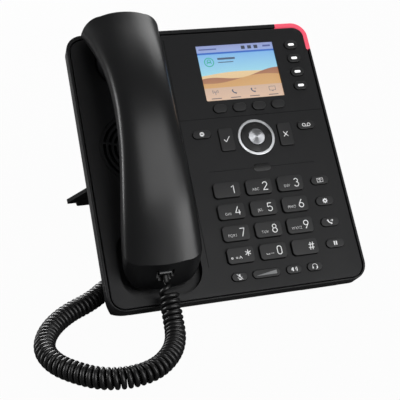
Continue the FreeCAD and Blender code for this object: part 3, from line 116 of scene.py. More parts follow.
# --- meshes from grids ---
def add_object(name, mesh, body, material):
    piece = bpy.data.objects.new(name, mesh)
    bpy.context.scene.collection.objects.link(piece)
    if material:
        mesh.materials.append(material)
    if body:
        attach(piece, body)
    return piece


def grid_faces(rows, columns, wrap_rows, wrap_columns):
    """Quads between neighbouring points of a grid numbered row by row, closed where it wraps."""
    row = np.arange(rows if wrap_rows else rows - 1)
    column = np.arange(columns if wrap_columns else columns - 1)
    row, column = [a.ravel() for a in np.meshgrid(row, column, indexing="ij")]
    next_row = (row + 1) % rows
    next_column = (column + 1) % columns
    corners = [row * columns + column, row * columns + next_column,
               next_row * columns + next_column, next_row * columns + column]
    return np.stack(corners, axis=-1)


def mesh_from_grids(name, grids, smooth=True):
    """One mesh from several (points, wraps along, wraps around) grids; open ends are capped."""
    points = []
    faces = []
    start = 0
    for grid, wrap_rows, wrap_columns in grids:
        rows, columns = grid.shape[:2]
        quads = grid_faces(rows, columns, wrap_rows, wrap_columns) + start
        faces.extend(quads.tolist())
        if wrap_columns and not wrap_rows:
            faces.append((np.arange(columns)[::-1] + start).tolist())
            faces.append((np.arange(columns) + start + (rows - 1) * columns).tolist())
        points.append(grid.reshape(-1, 3))
        start += rows * columns
    mesh = bpy.data.meshes.new(name)
    mesh.from_pydata(np.concatenate(points).tolist(), [], faces)
    mesh.polygons.foreach_set("use_smooth", [smooth] * len(faces))
    mesh.update()
    return mesh


def carried_normals(tangents, first):
    """Normals along a path that turn no more than the path does: each is the last one, less its part
    along the next tangent."""
    normals = np.empty_like(tangents)
    normal = np.asarray(first, float)
    for index, tangent in enumerate(tangents):
        normal = normal - tangent * np.dot(normal, tangent)
        normal = normal / np.linalg.norm(normal)
        normals[index] = normal
    return normals


def unit(vectors):
    return vectors / np.linalg.norm(vectors, axis=-1, keepdims=True)


# --- the curly cord ---
CORD_ROUTE = [
    (-51.9, -92.043, 33.496),
    (-51.9, -112.675, 12.132),
    (-53.6, -125.0, 7.0),
    (-61.0, -139.5, 6.6),
    (-73.0, -150.8, 6.6),
    (-88.5, -154.4, 6.6),
    (-104.0, -151.3, 6.6),
    (-117.0, -141.5, 6.6),
    (-127.0, -130.0, 6.6),
    (-131.4, -115.5, 6.6),
    (-128.6, -101.0, 6.6),
    (-121.0, -87.9, 6.6),
    (-110.0, -76.9, 6.6),
    (-99.0, -70.3, 6.6),
    (-90.6, -63.4, 6.6),
    (-84.0, -55.7, 6.6),
    (-69.99, -45.45, 6.6),
    (-63.4, -43.9, 11.4),
    (-60.3, -46.9, 18.8),
    (-60.0, -50.9, 27.0),
    (-60.0, -53.168, 34.741),
    (-60.0, -47.611, 40.495),
]
CORD_WIDTH = 3.1          # the jacket round one wire of the coil
COIL_OUTER = 13.0
COIL_PITCH = 3.5
COIL_START = 4.5          # distance along the route where the coil begins
COIL_END_LEFT = 48.0      # and the distance from the route's end where it stops
COIL_OPENING = 8.5        # length over which the coil opens to its full width
LAZY_TURN = 0.25          # how fast it turns while it opens, against its full rate
STEPS_PER_TURN = 26
CORD_SIDES = 12
TAIL_FLATTENING = 0.28


def route_points(points, samples):
    """Points read from one NURBS line whose control points are the route's."""
    curve = bpy.data.curves.new("cord_route", "CURVE")
    curve.dimensions = "3D"
    curve.resolution_u = samples
    spline = curve.splines.new("NURBS")
    spline.points.add(len(points) - 1)
    for control, point in zip(spline.points, points):
        control.co = (point[0] / 1000, point[1] / 1000, point[2] / 1000, 1)
    spline.order_u = 3
    spline.use_endpoint_u = True
    line = bpy.data.objects.new("cord_route", curve)
    mesh = bpy.data.meshes.new_from_object(line)
    places = np.empty(len(mesh.vertices) * 3)
    mesh.vertices.foreach_get("co", places)
    bpy.data.objects.remove(line)
    bpy.data.curves.remove(curve)
    bpy.data.meshes.remove(mesh)
    return places.reshape(-1, 3)


def lengths_along(points):
    steps = np.linalg.norm(np.diff(points, axis=0), axis=1)
    return np.concatenate([[0.0], np.cumsum(steps)])


def resample(points, along, wanted):
    return np.stack([np.interp(wanted, along, points[:, axis]) for axis in range(3)], axis=-1)


def tube_grid(path, first, half_normal, half_binormal, sides):
    """An ellipse carried along a path: the half widths lie on the path's carried normal and binormal."""
    tangents = unit(np.gradient(path, axis=0))
    normals = carried_normals(tangents, first)
    binormals = np.cross(tangents, normals)
    angle = np.linspace(0, 2 * math.pi, sides, endpoint=False)
    across = half_normal[:, None, None] * np.cos(angle)[None, :, None] * normals[:, None, :]
    up = half_binormal[:, None, None] * np.sin(angle)[None, :, None] * binormals[:, None, :]
    return path[:, None, :] + across + up


def smooth_rise(value):
    """0 to 1 without corners: 3 x^2 - 2 x^3 of the value held between 0 and 1."""
    value = np.clip(value, 0, 1)
    return value * value * (3 - 2 * value)


def cord_path():
    """The wire's middle line and the share of the coil's full radius along it. The route carries a circle
    that opens smoothly at both ends; it turns slowly while it opens and once every pitch after that, so
    the wire never bends sharply."""
    route = route_points(CORD_ROUTE, 24)
    along = lengths_along(route) * 1000
    distance = np.linspace(0, along[-1], 6000)
    inward = np.minimum(distance - COIL_START, along[-1] - COIL_END_LEFT - distance)
    share = smooth_rise(inward / COIL_OPENING)
    pace = LAZY_TURN + (1 - LAZY_TURN) * smooth_rise(inward / COIL_OPENING - 0.45)
    rate = np.where(share > 0, pace, 0) * 2 * math.pi / COIL_PITCH
    phase = np.cumsum(rate) * (distance[1] - distance[0])
    progress = phase * STEPS_PER_TURN / (2 * math.pi) + distance
    wanted = np.interp(np.arange(0, progress[-1]), progress, distance)
    middle = resample(route, along, wanted)
    tangents = unit(np.gradient(middle, axis=0))
    normals = carried_normals(tangents, (1.0, 0.0, 0.0))
    binormals = np.cross(tangents, normals)
    share = np.interp(wanted, distance, share)
    phase = np.interp(wanted, distance, phase)
    radius = share * (COIL_OUTER - CORD_WIDTH) / 2000
    swing = np.cos(phase)[:, None] * normals + np.sin(phase)[:, None] * binormals
    return middle + radius[:, None] * swing, share


def make_cord(material):
    path, share = cord_path()
    half = CORD_WIDTH / 2000
    wide = half * (1 + TAIL_FLATTENING * (1 - share))
    thin = half * (1 - TAIL_FLATTENING * (1 - share))
    surface = tube_grid(path, (1.0, 0.0, 0.0), wide, thin, CORD_SIDES)
    mesh = mesh_from_grids("handset_cord", [(surface, False, True)])
    cord = add_object("handset_cord", mesh, None, material)
    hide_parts("cord_coil", "handset_tail", "base_tail")
    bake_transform(cord)
    return cord


# --- shader node groups ---
def new_group(name, inputs, outputs):
    """A shader node group with named sockets: inputs and outputs are (name, socket type, default)."""
    group = bpy.data.node_groups.new(name, "ShaderNodeTree")
    for label, kind, value in inputs:
        socket = group.interface.new_socket(name=label, in_out="INPUT", socket_type=kind)
        if value is not None:
            socket.default_value = value
    for label, kind in outputs:
        group.interface.new_socket(name=label, in_out="OUTPUT", socket_type=kind)
    entry = group.nodes.new("NodeGroupInput")
    leave = group.nodes.new("NodeGroupOutput")
    return group, entry, leave


def noise_node(tree, scale, detail, roughness=0.5):
    node = tree.nodes.new("ShaderNodeTexNoise")
    node.inputs["Scale"].default_value = scale
    node.inputs["Detail"].default_value = detail
    node.inputs["Roughness"].default_value = roughness
    return node


def math_node(tree, operation, first, second):
    node = tree.nodes.new("ShaderNodeMath")
    node.operation = operation
    for socket, value in zip(node.inputs, (first, second)):
        if isinstance(value, (int, float)):
            socket.default_value = value
        else:
            tree.links.new(value, socket)
    return node.outputs[0]


def range_node(tree, value, low, high, new_low, new_high):
    node = tree.nodes.new("ShaderNodeMapRange")
    tree.links.new(value, node.inputs["Value"])
    for label, number in (("From Min", low), ("From Max", high), ("To Min", new_low), ("To Max", new_high)):
        if isinstance(number, (int, float)):
            node.inputs[label].default_value = number
        else:
            tree.links.new(number, node.inputs[label])
    return node.outputs["Result"]


def spark_grain_group():
    """The pitted skin of a spark-eroded mould: fine noise over a coarser cell pattern, as a height."""
    group, entry, leave = new_group(
        "spark_grain",
        [("Vector", "NodeSocketVector", None), ("Scale", "NodeSocketFloat", 1600.0)],
        [("Height", "NodeSocketFloat"), ("Pits", "NodeSocketFloat")])
    fine = noise_node(group, 1600, 3, 0.6)
    group.links.new(entry.outputs["Vector"], fine.inputs["Vector"])
    group.links.new(entry.outputs["Scale"], fine.inputs["Scale"])
    cells = group.nodes.new("ShaderNodeTexVoronoi")
    group.links.new(entry.outputs["Vector"], cells.inputs["Vector"])
    group.links.new(math_node(group, "MULTIPLY", entry.outputs["Scale"], 0.7), cells.inputs["Scale"])
    height = math_node(group, "ADD", fine.outputs["Fac"],
                       math_node(group, "MULTIPLY", cells.outputs["Distance"], 0.5))
    group.links.new(height, leave.inputs["Height"])
    group.links.new(range_node(group, fine.outputs["Fac"], 0.35, 0.65, 0.0, 1.0), leave.inputs["Pits"])
    return group


def handling_group():
    """Use on a plastic skin: soft cloudy smudges that change the roughness, and a few pale dust specks."""
    group, entry, leave = new_group(
        "handling",
        [("Vector", "NodeSocketVector", None), ("Base Color", "NodeSocketColor", (0.03, 0.03, 0.03, 1)),
         ("Dust Color", "NodeSocketColor", (0.2, 0.2, 0.2, 1)), ("Dust", "NodeSocketFloat", 0.1),
         ("Rough Low", "NodeSocketFloat", 0.4), ("Rough High", "NodeSocketFloat", 0.5)],
        [("Color", "NodeSocketColor"), ("Roughness", "NodeSocketFloat")])
    clouds = noise_node(group, 28, 4, 0.55)
    specks = noise_node(group, 950, 2, 0.5)
    for node in (clouds, specks):
        group.links.new(entry.outputs["Vector"], node.inputs["Vector"])
    rough = range_node(group, clouds.outputs["Fac"], 0.3, 0.7,
                       entry.outputs["Rough Low"], entry.outputs["Rough High"])
    group.links.new(rough, leave.inputs["Roughness"])
    amount = range_node(group, specks.outputs["Fac"], 0.66, 0.78, 0.0, entry.outputs["Dust"])
    mix = group.nodes.new("ShaderNodeMix")
    mix.data_type = "RGBA"
    group.links.new(amount, mix.inputs["Factor"])
    group.links.new(entry.outputs["Base Color"], mix.inputs["A"])
    group.links.new(entry.outputs["Dust Color"], mix.inputs["B"])
    group.links.new(mix.outputs["Result"], leave.inputs["Color"])
    return group


SPARK_GRAIN = spark_grain_group()
HANDLING = handling_group()


def new_material(name):
    material = bpy.data.materials.new(name)
    material.use_nodes = True
    shader = material.node_tree.nodes["Principled BSDF"]
    return material, material.node_tree, shader


def group_node(tree, group):
    node = tree.nodes.new("ShaderNodeGroup")
    node.node_tree = group
    return node


def object_coordinates(tree):
    return tree.nodes.new("ShaderNodeTexCoord").outputs["Object"]


def bump_into(tree, shader, height, strength, distance):
    bump = tree.nodes.new("ShaderNodeBump")
    bump.inputs["Strength"].default_value = strength
    bump.inputs["Distance"].default_value = distance
    tree.links.new(height, bump.inputs["Height"])
    tree.links.new(bump.outputs["Normal"], shader.inputs["Normal"])


def moulded(name, color, rough, grain, relief, dust=0.12, specular=0.5):
    """Moulded plastic or rubber: spark grain as relief, handling marks in colour and roughness."""
    material, tree, shader = new_material(name)
    place = object_coordinates(tree)
    skin = group_node(tree, SPARK_GRAIN)
    skin.inputs["Scale"].default_value = grain
    tree.links.new(place, skin.inputs["Vector"])
    bump_into(tree, shader, skin.outputs["Height"], 0.6, relief)
    marks = group_node(tree, HANDLING)
    tree.links.new(place, marks.inputs["Vector"])
    marks.inputs["Base Color"].default_value = (*color, 1)
    pale = [min(1.0, c * 2.2 + 0.02) for c in color]
    marks.inputs["Dust Color"].default_value = (*pale, 1)
    marks.inputs["Dust"].default_value = dust
    marks.inputs["Rough Low"].default_value = rough[0]
    marks.inputs["Rough High"].default_value = rough[1]
    tree.links.new(marks.outputs["Color"], shader.inputs["Base Color"])
    tree.links.new(marks.outputs["Roughness"], shader.inputs["Roughness"])
    shader.inputs["Specular IOR Level"].default_value = specular
    return material


def paint_wall_shade(material, axis):
    """Painted shade: faces that stand along the axis, such as the keys' side walls, are painted darker, down
    to black, and made rougher than those that look along it.
    """
    tree = material.node_tree
    shader = tree.nodes["Principled BSDF"]
    slope = tree.nodes.new("ShaderNodeVectorMath")
    slope.operation = "DOT_PRODUCT"
    tree.links.new(tree.nodes.new("ShaderNodeTexCoord").outputs["Normal"], slope.inputs[0])
    slope.inputs[1].default_value = axis
    polish = shader.inputs["Roughness"].links[0].from_socket
    tint = shader.inputs["Base Color"].links[0].from_socket
    rough = range_node(tree, slope.outputs["Value"], 0.3, 0.9, 1.0, polish)
    tree.links.new(rough, shader.inputs["Roughness"])
    # painted shade: the base colour is mixed towards black on the walls
    mix = tree.nodes.new("ShaderNodeMix")
    mix.data_type = "RGBA"
    mix.inputs["A"].default_value = (0, 0, 0, 1)
    tree.links.new(tint, mix.inputs["B"])
    tree.links.new(range_node(tree, slope.outputs["Value"], 0.3, 0.9, 0.0, 1.0), mix.inputs["Factor"])
    tree.links.new(mix.outputs["Result"], shader.inputs["Base Color"])


def glowing(name, color, strength):
    """A lit window: an even glow, with a slight cloudiness across it, behind a smooth skin."""
    material, tree, shader = new_material(name)
    clouds = noise_node(tree, 180, 2)
    tree.links.new(object_coordinates(tree), clouds.inputs["Vector"])
    mix = tree.nodes.new("ShaderNodeMix")
    mix.data_type = "RGBA"
    mix.inputs["A"].default_value = (*[c * 0.93 for c in color], 1)
    mix.inputs["B"].default_value = (*color, 1)
    tree.links.new(clouds.outputs["Fac"], mix.inputs["Factor"])
    tree.links.new(mix.outputs["Result"], shader.inputs["Emission Color"])
    shader.inputs["Emission Strength"].default_value = strength
    shader.inputs["Base Color"].default_value = (*[c * 0.3 for c in color], 1)
    shader.inputs["Roughness"].default_value = 0.4
    return material


def display_light():
    """The lit picture: each sheet's own tints, over a fine dot pitch."""
    material, tree, shader = new_material("display_light")
    tint = tree.nodes.new("ShaderNodeAttribute")
    tint.attribute_name = "tint"
    dots = noise_node(tree, 5000, 1)
    tree.links.new(object_coordinates(tree), dots.inputs["Vector"])
    level = range_node(tree, dots.outputs["Fac"], 0.3, 0.7, 0.92, 1.0)
    tree.links.new(tint.outputs["Color"], shader.inputs["Emission Color"])
    tree.links.new(level, shader.inputs["Emission Strength"])
    shader.inputs["Base Color"].default_value = (0.01, 0.01, 0.012, 1)
    shader.inputs["Roughness"].default_value = 0.5
    return material


def metal(name, color, rough, scale, relief):
    """Bare metal with a drawn or tumbled finish: noise as fine relief and uneven roughness."""
    material, tree, shader = new_material(name)
    place = object_coordinates(tree)
    fine = noise_node(tree, scale, 4, 0.6)
    tree.links.new(place, fine.inputs["Vector"])
    bump_into(tree, shader, fine.outputs["Fac"], 0.4, relief)
    uneven = range_node(tree, fine.outputs["Fac"], 0.3, 0.7, rough[0], rough[1])
    tree.links.new(uneven, shader.inputs["Roughness"])
    shader.inputs["Base Color"].default_value = (*color, 1)
    shader.inputs["Metallic"].default_value = 1.0
    return material


def spun_metal(name, color, middle, axis):
    """Metal turned on a lathe: streaks run round the axis, so its shine spreads across them."""
    material, tree, shader = new_material(name)
    place = object_coordinates(tree)
    out = tree.nodes.new("ShaderNodeVectorMath")
    out.operation = "SUBTRACT"
    tree.links.new(place, out.inputs[0])
    out.inputs[1].default_value = middle
    around = tree.nodes.new("ShaderNodeVectorMath")
    around.operation = "CROSS_PRODUCT"
    tree.links.new(out.outputs["Vector"], around.inputs[0])
    around.inputs[1].default_value = axis
    reach = tree.nodes.new("ShaderNodeVectorMath")
    reach.operation = "LENGTH"
    tree.links.new(around.outputs["Vector"], reach.inputs[0])
    rings = noise_node(tree, 9000, 2, 0.7)
    rings.noise_dimensions = "1D"
    tree.links.new(reach.outputs["Value"], rings.inputs["W"])
    bump_into(tree, shader, rings.outputs["Fac"], 0.5, 0.000004)
    tree.links.new(around.outputs["Vector"], shader.inputs["Tangent"])
    shader.inputs["Anisotropic"].default_value = 0.92
    shader.inputs["Roughness"].default_value = 0.34
    shader.inputs["Base Color"].default_value = (*color, 1)
    shader.inputs["Metallic"].default_value = 1.0
    return material


def middle_of(node):
    """A node's middle in the face's frame, in metres."""
    u, v, n = face_top(node)
    return tuple(from_face((u, v, n)))


FACE_AXIS = (0.0, -math.sin(TILT), math.cos(TILT))
MATERIALS = {
    "housing": moulded("housing_plastic", (0.0075, 0.0077, 0.0086), (0.44, 0.52), 1500, 0.00004, 0.15, 0.27),
    "handset": moulded("handset_plastic", (0.0062, 0.0064, 0.0070), (0.30, 0.35), 2200, 0.000008, 0.05, 0.42),
    "keys": moulded("key_plastic", (0.0135, 0.0137, 0.0145), (0.38, 0.46), 2200, 0.00001, 0.08, 0.34),
    "dial_disc": moulded("dial_disc_plastic", (0.004, 0.004, 0.0045), (0.26, 0.34), 2200, 0.000006,
                         0.05, 0.4),
    "stand": moulded("stand_plastic", (0.010, 0.0104, 0.0115), (0.48, 0.58), 1500, 0.00004, 0.15, 0.3),
    "rubber": moulded("foot_rubber", (0.012, 0.012, 0.012), (0.75, 0.85), 1200, 0.00004),
    "mat": moulded("mat_rubber", (0.25, 0.25, 0.27), (0.6, 0.7), 1800, 0.00002),
    "board": moulded("circuit_board", (0.02, 0.12, 0.05), (0.35, 0.5), 1200, 0.00003),
    "speaker": moulded("speaker_cone", (0.008, 0.008, 0.008), (0.7, 0.8), 1400, 0.00005, 0.1, 0.25),
    "socket": moulded("socket_plastic", (0.02, 0.02, 0.021), (0.4, 0.5), 1800, 0.00002),
    "plug": moulded("smoked_plug", (0.03, 0.032, 0.034), (0.12, 0.2), 1500, 0.000008),
    "cord": moulded("cord_jacket", (0.0034, 0.0034, 0.0037), (0.34, 0.40), 1500, 0.000001, 0.03, 0.5),
    "smoked": moulded("smoked_window", (0.008, 0.008, 0.0084), (0.18, 0.22), 900, 0.000001, 0.03, 0.3),
    "legend": moulded("legend_ink", (0.92, 0.925, 0.93), (0.5, 0.6), 2200, 0.000004, 0.05),
    "grey_legend": moulded("grey_legend_ink", (0.22, 0.225, 0.23), (0.4, 0.5), 2200, 0.000004, 0.05),
    "faint_legend": moulded("faint_legend_ink", (0.035, 0.035, 0.037), (0.4, 0.5), 2200, 0.000004, 0.05),
    "ring": metal("ring_chrome", (0.62, 0.63, 0.65), (0.32, 0.38), 300, 0.0000003),
    "screw": metal("zinc_screw", (0.50, 0.50, 0.52), (0.3, 0.45), 900, 0.00001),
    "spun": spun_metal("spun_steel", (0.46, 0.47, 0.49), middle_of("ok_key"), FACE_AXIS),
    "red": glowing("red_light_pipe", (0.92, 0.10, 0.165), 0.8),
    "lamp": glowing("lamp_window", (1.0, 1.0, 1.0), 0.95),
    "display": display_light(),
    "display_frame": moulded("display_frame", (0.01, 0.01, 0.011), (0.5, 0.6), 1800, 0.00001, 0.05, 0.3),
}

# painted shade on the keys: their side walls are painted darker than their tops
paint_wall_shade(MATERIALS["keys"], FACE_AXIS)


def glass_material():
    """Clear moulded window: a plain transmission with a faint waviness in its relief."""
    material, tree, shader = new_material("clear_window")
    waves = noise_node(tree, 40, 2)
    tree.links.new(object_coordinates(tree), waves.inputs["Vector"])
    bump_into(tree, shader, waves.outputs["Fac"], 0.2, 0.00001)
    shader.inputs["Base Color"].default_value = (0.97, 0.98, 0.99, 1)
    shader.inputs["Roughness"].default_value = 0.02
    shader.inputs["Transmission Weight"].default_value = 1.0
    shader.inputs["IOR"].default_value = 1.2
    return material


MATERIALS["glass"] = glass_material()

# --- finishes of the CAD nodes ---
FINISH = {
    "back_shell": "housing", "front_cover": "housing", "message_light": "red", "display_window": "glass",
    "display_module": "display_frame", "sensor_window": "smoked", "hook_sensor": "smoked",
    "navigation_ring": "ring", "keypad_mat": "mat", "main_board": "board", "loudspeaker": "speaker",
    "rear_sockets": "socket", "housing_screws": "screw", "base_feet": "rubber", "base_plug": "plug",
    "handset_top_shell": "handset", "handset_bottom_shell": "handset", "earpiece_receiver": "speaker",
    "handset_microphone": "speaker", "handset_plug": "plug", "footstand": "stand", "stand_feet": "rubber",
    "ok_key": "spun", "navigation_disc": "dial_disc", "cord_coil": "cord", "handset_tail": "cord",
    "base_tail": "cord",
}


def finish_nodes():
    """Every CAD node gets its material; a weld and a split at sharp edges let its rounds shade smoothly."""
    for name, node in NODES.items():
        node.data.materials.clear()
        node.data.materials.append(MATERIALS[FINISH.get(name, "keys")])
        node.data.polygons.foreach_set("use_smooth", [True] * len(node.data.polygons))
        weld = node.modifiers.new("weld", "WELD")
        weld.merge_threshold = 0.000002
        split = node.modifiers.new("sharp_edges", "EDGE_SPLIT")
        split.split_angle = math.radians(32)


make_cord(MATERIALS["cord"])
finish_nodes()

# --- legends: flat pads of ink on the keys ---
INK = 0.05                # thickness of a printed mark
INK_LIFT = 0.01


def stroke(points, width, closed=False):
    """A thin rectangle carried along a flat path: (points, 4, 2 + level share) with mitred sides."""
    points = np.asarray(points, float)
    if closed:
        ahead = np.roll(points, -1, axis=0)
        behind = np.roll(points, 1, axis=0)
        along = unit(unit(ahead - points) + unit(points - behind))
    else:
        along = unit(np.gradient(points, axis=0))
    side = np.stack([-along[:, 1], along[:, 0]], axis=-1) * width / 2
    left = points + side
    right = points - side
    corners = np.stack([left, left, right, right], axis=1)
    level = np.broadcast_to(np.array([0.0, 1.0, 1.0, 0.0])[None, :, None], corners.shape[:2] + (1,))
    return np.concatenate([corners, level], axis=-1), closed


def circle(radius, centre=(0, 0), start=0.0, end=360.0, count=28):
    """Points of an arc about a centre, by angle in degrees."""
    whole = abs(end - start) >= 360
    angle = np.radians(np.linspace(start, end, count, endpoint=not whole))
    return np.stack([centre[0] + radius * np.cos(angle), centre[1] + radius * np.sin(angle)], axis=-1)


def rectangle(width, height, centre=(0, 0)):
    half = np.array([[-1, -1], [1, -1], [1, 1], [-1, 1]], float) * (width / 2, height / 2)
    return half + centre


def mark_mesh(name, strokes, place):
    """Strokes in millimetres about a key's middle, laid on its top face."""
    u, v, n = place
    grids = []
    for grid, closed in strokes:
        level = n + INK_LIFT + grid[..., 2] * INK
        face = np.stack([grid[..., 0] + u, grid[..., 1] + v, level], axis=-1)
        grids.append((from_face(face), closed, True))
    return mesh_from_grids(name, grids, smooth=False)


def text_mesh(name, words, size, place, narrow=0.86, weight=0.0):
    """Numbers and letters as a filled outline of even thickness, drawn in sideways by a share and
    centred on a place on the face."""
    curve = bpy.data.curves.new(name, "FONT")
    curve.body = words
    curve.size = size
    curve.extrude = INK / 2
    curve.offset = weight * size
    curve.resolution_u = 3
    curve.space_character = 1.15
    writing = bpy.data.objects.new(name, curve)
    mesh = bpy.data.meshes.new_from_object(writing)
    bpy.data.objects.remove(writing)
    points = np.empty(len(mesh.vertices) * 3)
    mesh.vertices.foreach_get("co", points)
    points = points.reshape(-1, 3)
    middle = (points.min(axis=0) + points.max(axis=0)) / 2
    face = (points - middle) * (narrow, 1, 1) + np.array(place) + (0, 0, INK / 2 + INK_LIFT)
    mesh.vertices.foreach_set("co", from_face(face).ravel())
    mesh.update()
    return mesh


BODIES = frame["record"]["behaviour"]["bodies"]
BODY_OF = {node: body for body, members in BODIES.items() for node in members}


def ink(name, mesh, node, material="legend"):
    return add_object(name, mesh, BODY_OF[node], MATERIALS[material])


LETTERS = {"key_2": "ABC", "key_3": "DEF", "key_4": "GHI", "key_5": "JKL", "key_6": "MNO", "key_7": "PQRS",
           "key_8": "TUV", "key_9": "WXYZ"}
LETTER_SIZE = 2.7
DIGIT_WIDTH = 0.56


def arc(radius, centre, start, end):
    return [tuple(point) for point in circle(radius, centre, start, end, 14)]


DIGITS = {
    "key_1": [([(-1.2, 1.5), (0.4, 2.8), (0.4, -2.8)], False)],
    "key_2": [(arc(1.5, (0, 1.3), 165, -35) + [(-1.6, -2.75), (-1.6, -2.75), (1.7, -2.75)], False)],
    "key_3": [(arc(1.3, (0, 1.5), 160, -90), False), (arc(1.6, (0, -1.25), 90, -155), False)],
    "key_4": [([(0.3, 2.8), (-1.7, -1.3), (-1.7, -1.3), (1.8, -1.3)], False),
              ([(0.9, 0.5), (0.9, -2.8)], False)],
    "key_5": [([(1.4, 2.75), (-1.2, 2.75), (-1.2, 2.75), (-1.4, 0.1)], False),
              (arc(1.65, (0, -1.15), 140, -150), False)],
    "key_6": [(arc(1.6, (0, -1.2), 0, 345), True), ([(0.6, 2.8), (-1.35, -0.3)], False)],
    "key_7": [([(-1.6, 2.75), (1.6, 2.75), (1.6, 2.75), (-0.4, -2.8)], False)],
    "key_8": [(arc(1.3, (0, 1.5), 0, 345), True), (arc(1.6, (0, -1.2), 0, 345), True)],
    "key_9": [(arc(1.6, (0, 1.2), 0, 345), True), ([(-0.6, -2.8), (1.35, 0.3)], False)],
    "key_0": [(arc(1.45, (0, 1.35), 0, 180) + arc(1.45, (0, -1.35), 180, 360), True)],
    "key_hash": [([(-0.9, -2.6), (-0.4, 2.6)], False), ([(0.8, -2.6), (1.3, 2.6)], False),
                 ([(-1.7, 1.1), (2.2, 1.1)], False), ([(-1.9, -1.1), (2.0, -1.1)], False)],
}


def dial_legends():
    """Digits as lines of one width beside small letters."""
    for node, lines in DIGITS.items():
        u, v, n = face_top(node)
        strokes = [stroke(points, DIGIT_WIDTH, closed) for points, closed in lines]
        ink(node + "_digit", mark_mesh("digit", strokes, (u + 4.2, v, n)), node)
    for node, letters in LETTERS.items():
        u, v, n = face_top(node)
        writing = text_mesh("letters", letters, LETTER_SIZE, (u - 2.8, v - 1.7, n), 0.86, -0.016)
        ink(node + "_letters", writing, node)


def dash(left, right, level, width):
    return stroke([(left, level), (right, level)], width)


def teeth(inner, outer, width, count):
    """Short strokes that stand out all round a circle."""
    angles = np.arange(count) * 2 * math.pi / count
    return [stroke([(inner * math.cos(a), inner * math.sin(a)), (outer * math.cos(a), outer * math.sin(a))],
                   width) for a in angles]


ICONS = {
    "confirm_key": [stroke([(-2.1, 0.0), (-0.7, -1.7), (-0.7, -1.7), (2.1, 2.2)], 0.5)],
    "cancel_key": [stroke([(-1.6, -1.8), (1.6, 1.8)], 0.5), stroke([(-1.6, 1.8), (1.6, -1.8)], 0.5)],
    "do_not_disturb_key": [stroke(circle(1.15), 1.0, True), dash(-1.65, -0.75, 0, 0.9),
                           dash(0.75, 1.65, 0, 0.9), dash(-0.6, 0.6, 0.6, 0.5), dash(-0.6, 0.6, -0.6, 0.5)],
    "voicemail_key": [stroke(circle(1.1, (-1.8, 0.1), count=16), 0.45, True),
                      stroke(circle(1.1, (1.8, 0.1), count=16), 0.45, True), dash(-1.8, 1.8, -1.0, 0.45)],
    "directory_key": [stroke(rectangle(4.2, 2.7), 0.4, True), stroke([(0, -1.3), (0, 1.3)], 0.45),
                      dash(-1.4, -0.7, 0.4, 0.3), dash(0.7, 1.4, 0.4, 0.3)],
    "settings_key": [stroke(circle(1.05, count=16), 0.8, True)] + teeth(1.3, 1.85, 0.6, 8),
    "transfer_key": [stroke(circle(2.4, (0.9, 1.4), 188, 268, 12), 0.8),
                     stroke([(-1.9, 1.5), (-1.2, 0.7)], 1.1), stroke([(0.2, -1.5), (1.2, -1.0)], 1.1),
                     dash(0.5, 2.1, 0.9, 0.4),
                     stroke([(1.5, 1.6), (2.2, 0.9), (1.5, 0.2)], 0.35)],
    "hold_key": [stroke([(-0.75, -1.4), (-0.75, 1.4)], 0.9), stroke([(0.75, -1.4), (0.75, 1.4)], 0.9)],
    "mute_key": [stroke([(0, -0.3), (0, 1.5)], 1.2), stroke(circle(1.3, (0, -0.2), 180, 360, 12), 0.35),
                 stroke([(0, -1.4), (0, -2.0)], 0.4), dash(-0.9, 0.9, -2.0, 0.35),
                 stroke([(-1.8, 1.8), (1.8, -1.8)], 0.4)],
    "speaker_key": [stroke([(-2.0, 0), (-1.1, 0)], 1.3), stroke([(-1.3, 0.0), (-0.3, 0.0)], 2.6),
                    stroke(circle(1.2, (0.0, 0), -45, 45, 8), 0.4),
                    stroke(circle(2.1, (0.0, 0), -45, 45, 8), 0.4)],
    "headset_key": [stroke(circle(1.7, (0, 0), -20, 200, 16), 0.35),
                    stroke([(-1.5, -0.1), (-1.5, -1.3)], 0.9), stroke([(1.5, -0.1), (1.5, -1.3)], 0.9),
                    stroke([(1.5, -1.4), (0.4, -2.0)], 0.3)],
}


def bar_grid(corners):
    """A flat four-sided mark from its corners: (left low, left high), (right low, right high)."""
    grid = np.zeros((2, 4, 3))
    for row, (low, high) in enumerate(corners):
        grid[row, :, :2] = [high, high, low, low]
        grid[row, :, 2] = [0, 1, 1, 0]
    return grid, False


def icon_legends():
    for node, strokes in ICONS.items():
        ink(node + "_icon", mark_mesh("icon", strokes, face_top(node)), node)
    place = face_top("volume_rocker")
    wedge = bar_grid([((-6.9, -1.15), (-6.9, -1.0)), ((6.9, -1.15), (6.9, 1.35))])
    ink("volume_wedge", mark_mesh("wedge", [wedge], place), "volume_rocker", "grey_legend")
    u, v, n = face_top("key_star")
    rays = [stroke([(2.1 * math.cos(a), 2.1 * math.sin(a)), (-2.1 * math.cos(a), -2.1 * math.sin(a))], 0.5)
            for a in np.radians((90, 30, 150))]
    ink("key_star_mark", mark_mesh("star", rays, (u + 5.0, v + 0.9, n)), "key_star")
    small = [stroke(circle(0.55, (-3.9, 0), count=12), 0.35, True), dash(-1.4, 0.0, 0.35, 0.3),
             dash(-1.4, 0.0, -0.35, 0.3), stroke([(1.0, -0.8), (1.9, 0.9), (1.9, 0.9), (2.8, -0.8)], 0.35)]
    ink("key_star_case", mark_mesh("case", small, (u - 2.4, v - 1.6, n)), "key_star")
    u, v, n = face_top("key_0")
    small = [stroke([(-2.4, 0.5), (-2.4, -0.2), (-0.3, -0.2), (-0.3, 0.5)], 0.3), dash(0.7, 1.5, 0.1, 0.3),
             dash(1.9, 2.7, 0.1, 0.3)]
    ink("key_0_space", mark_mesh("space", small, (u - 2.6, v - 1.7, n)), "key_0")


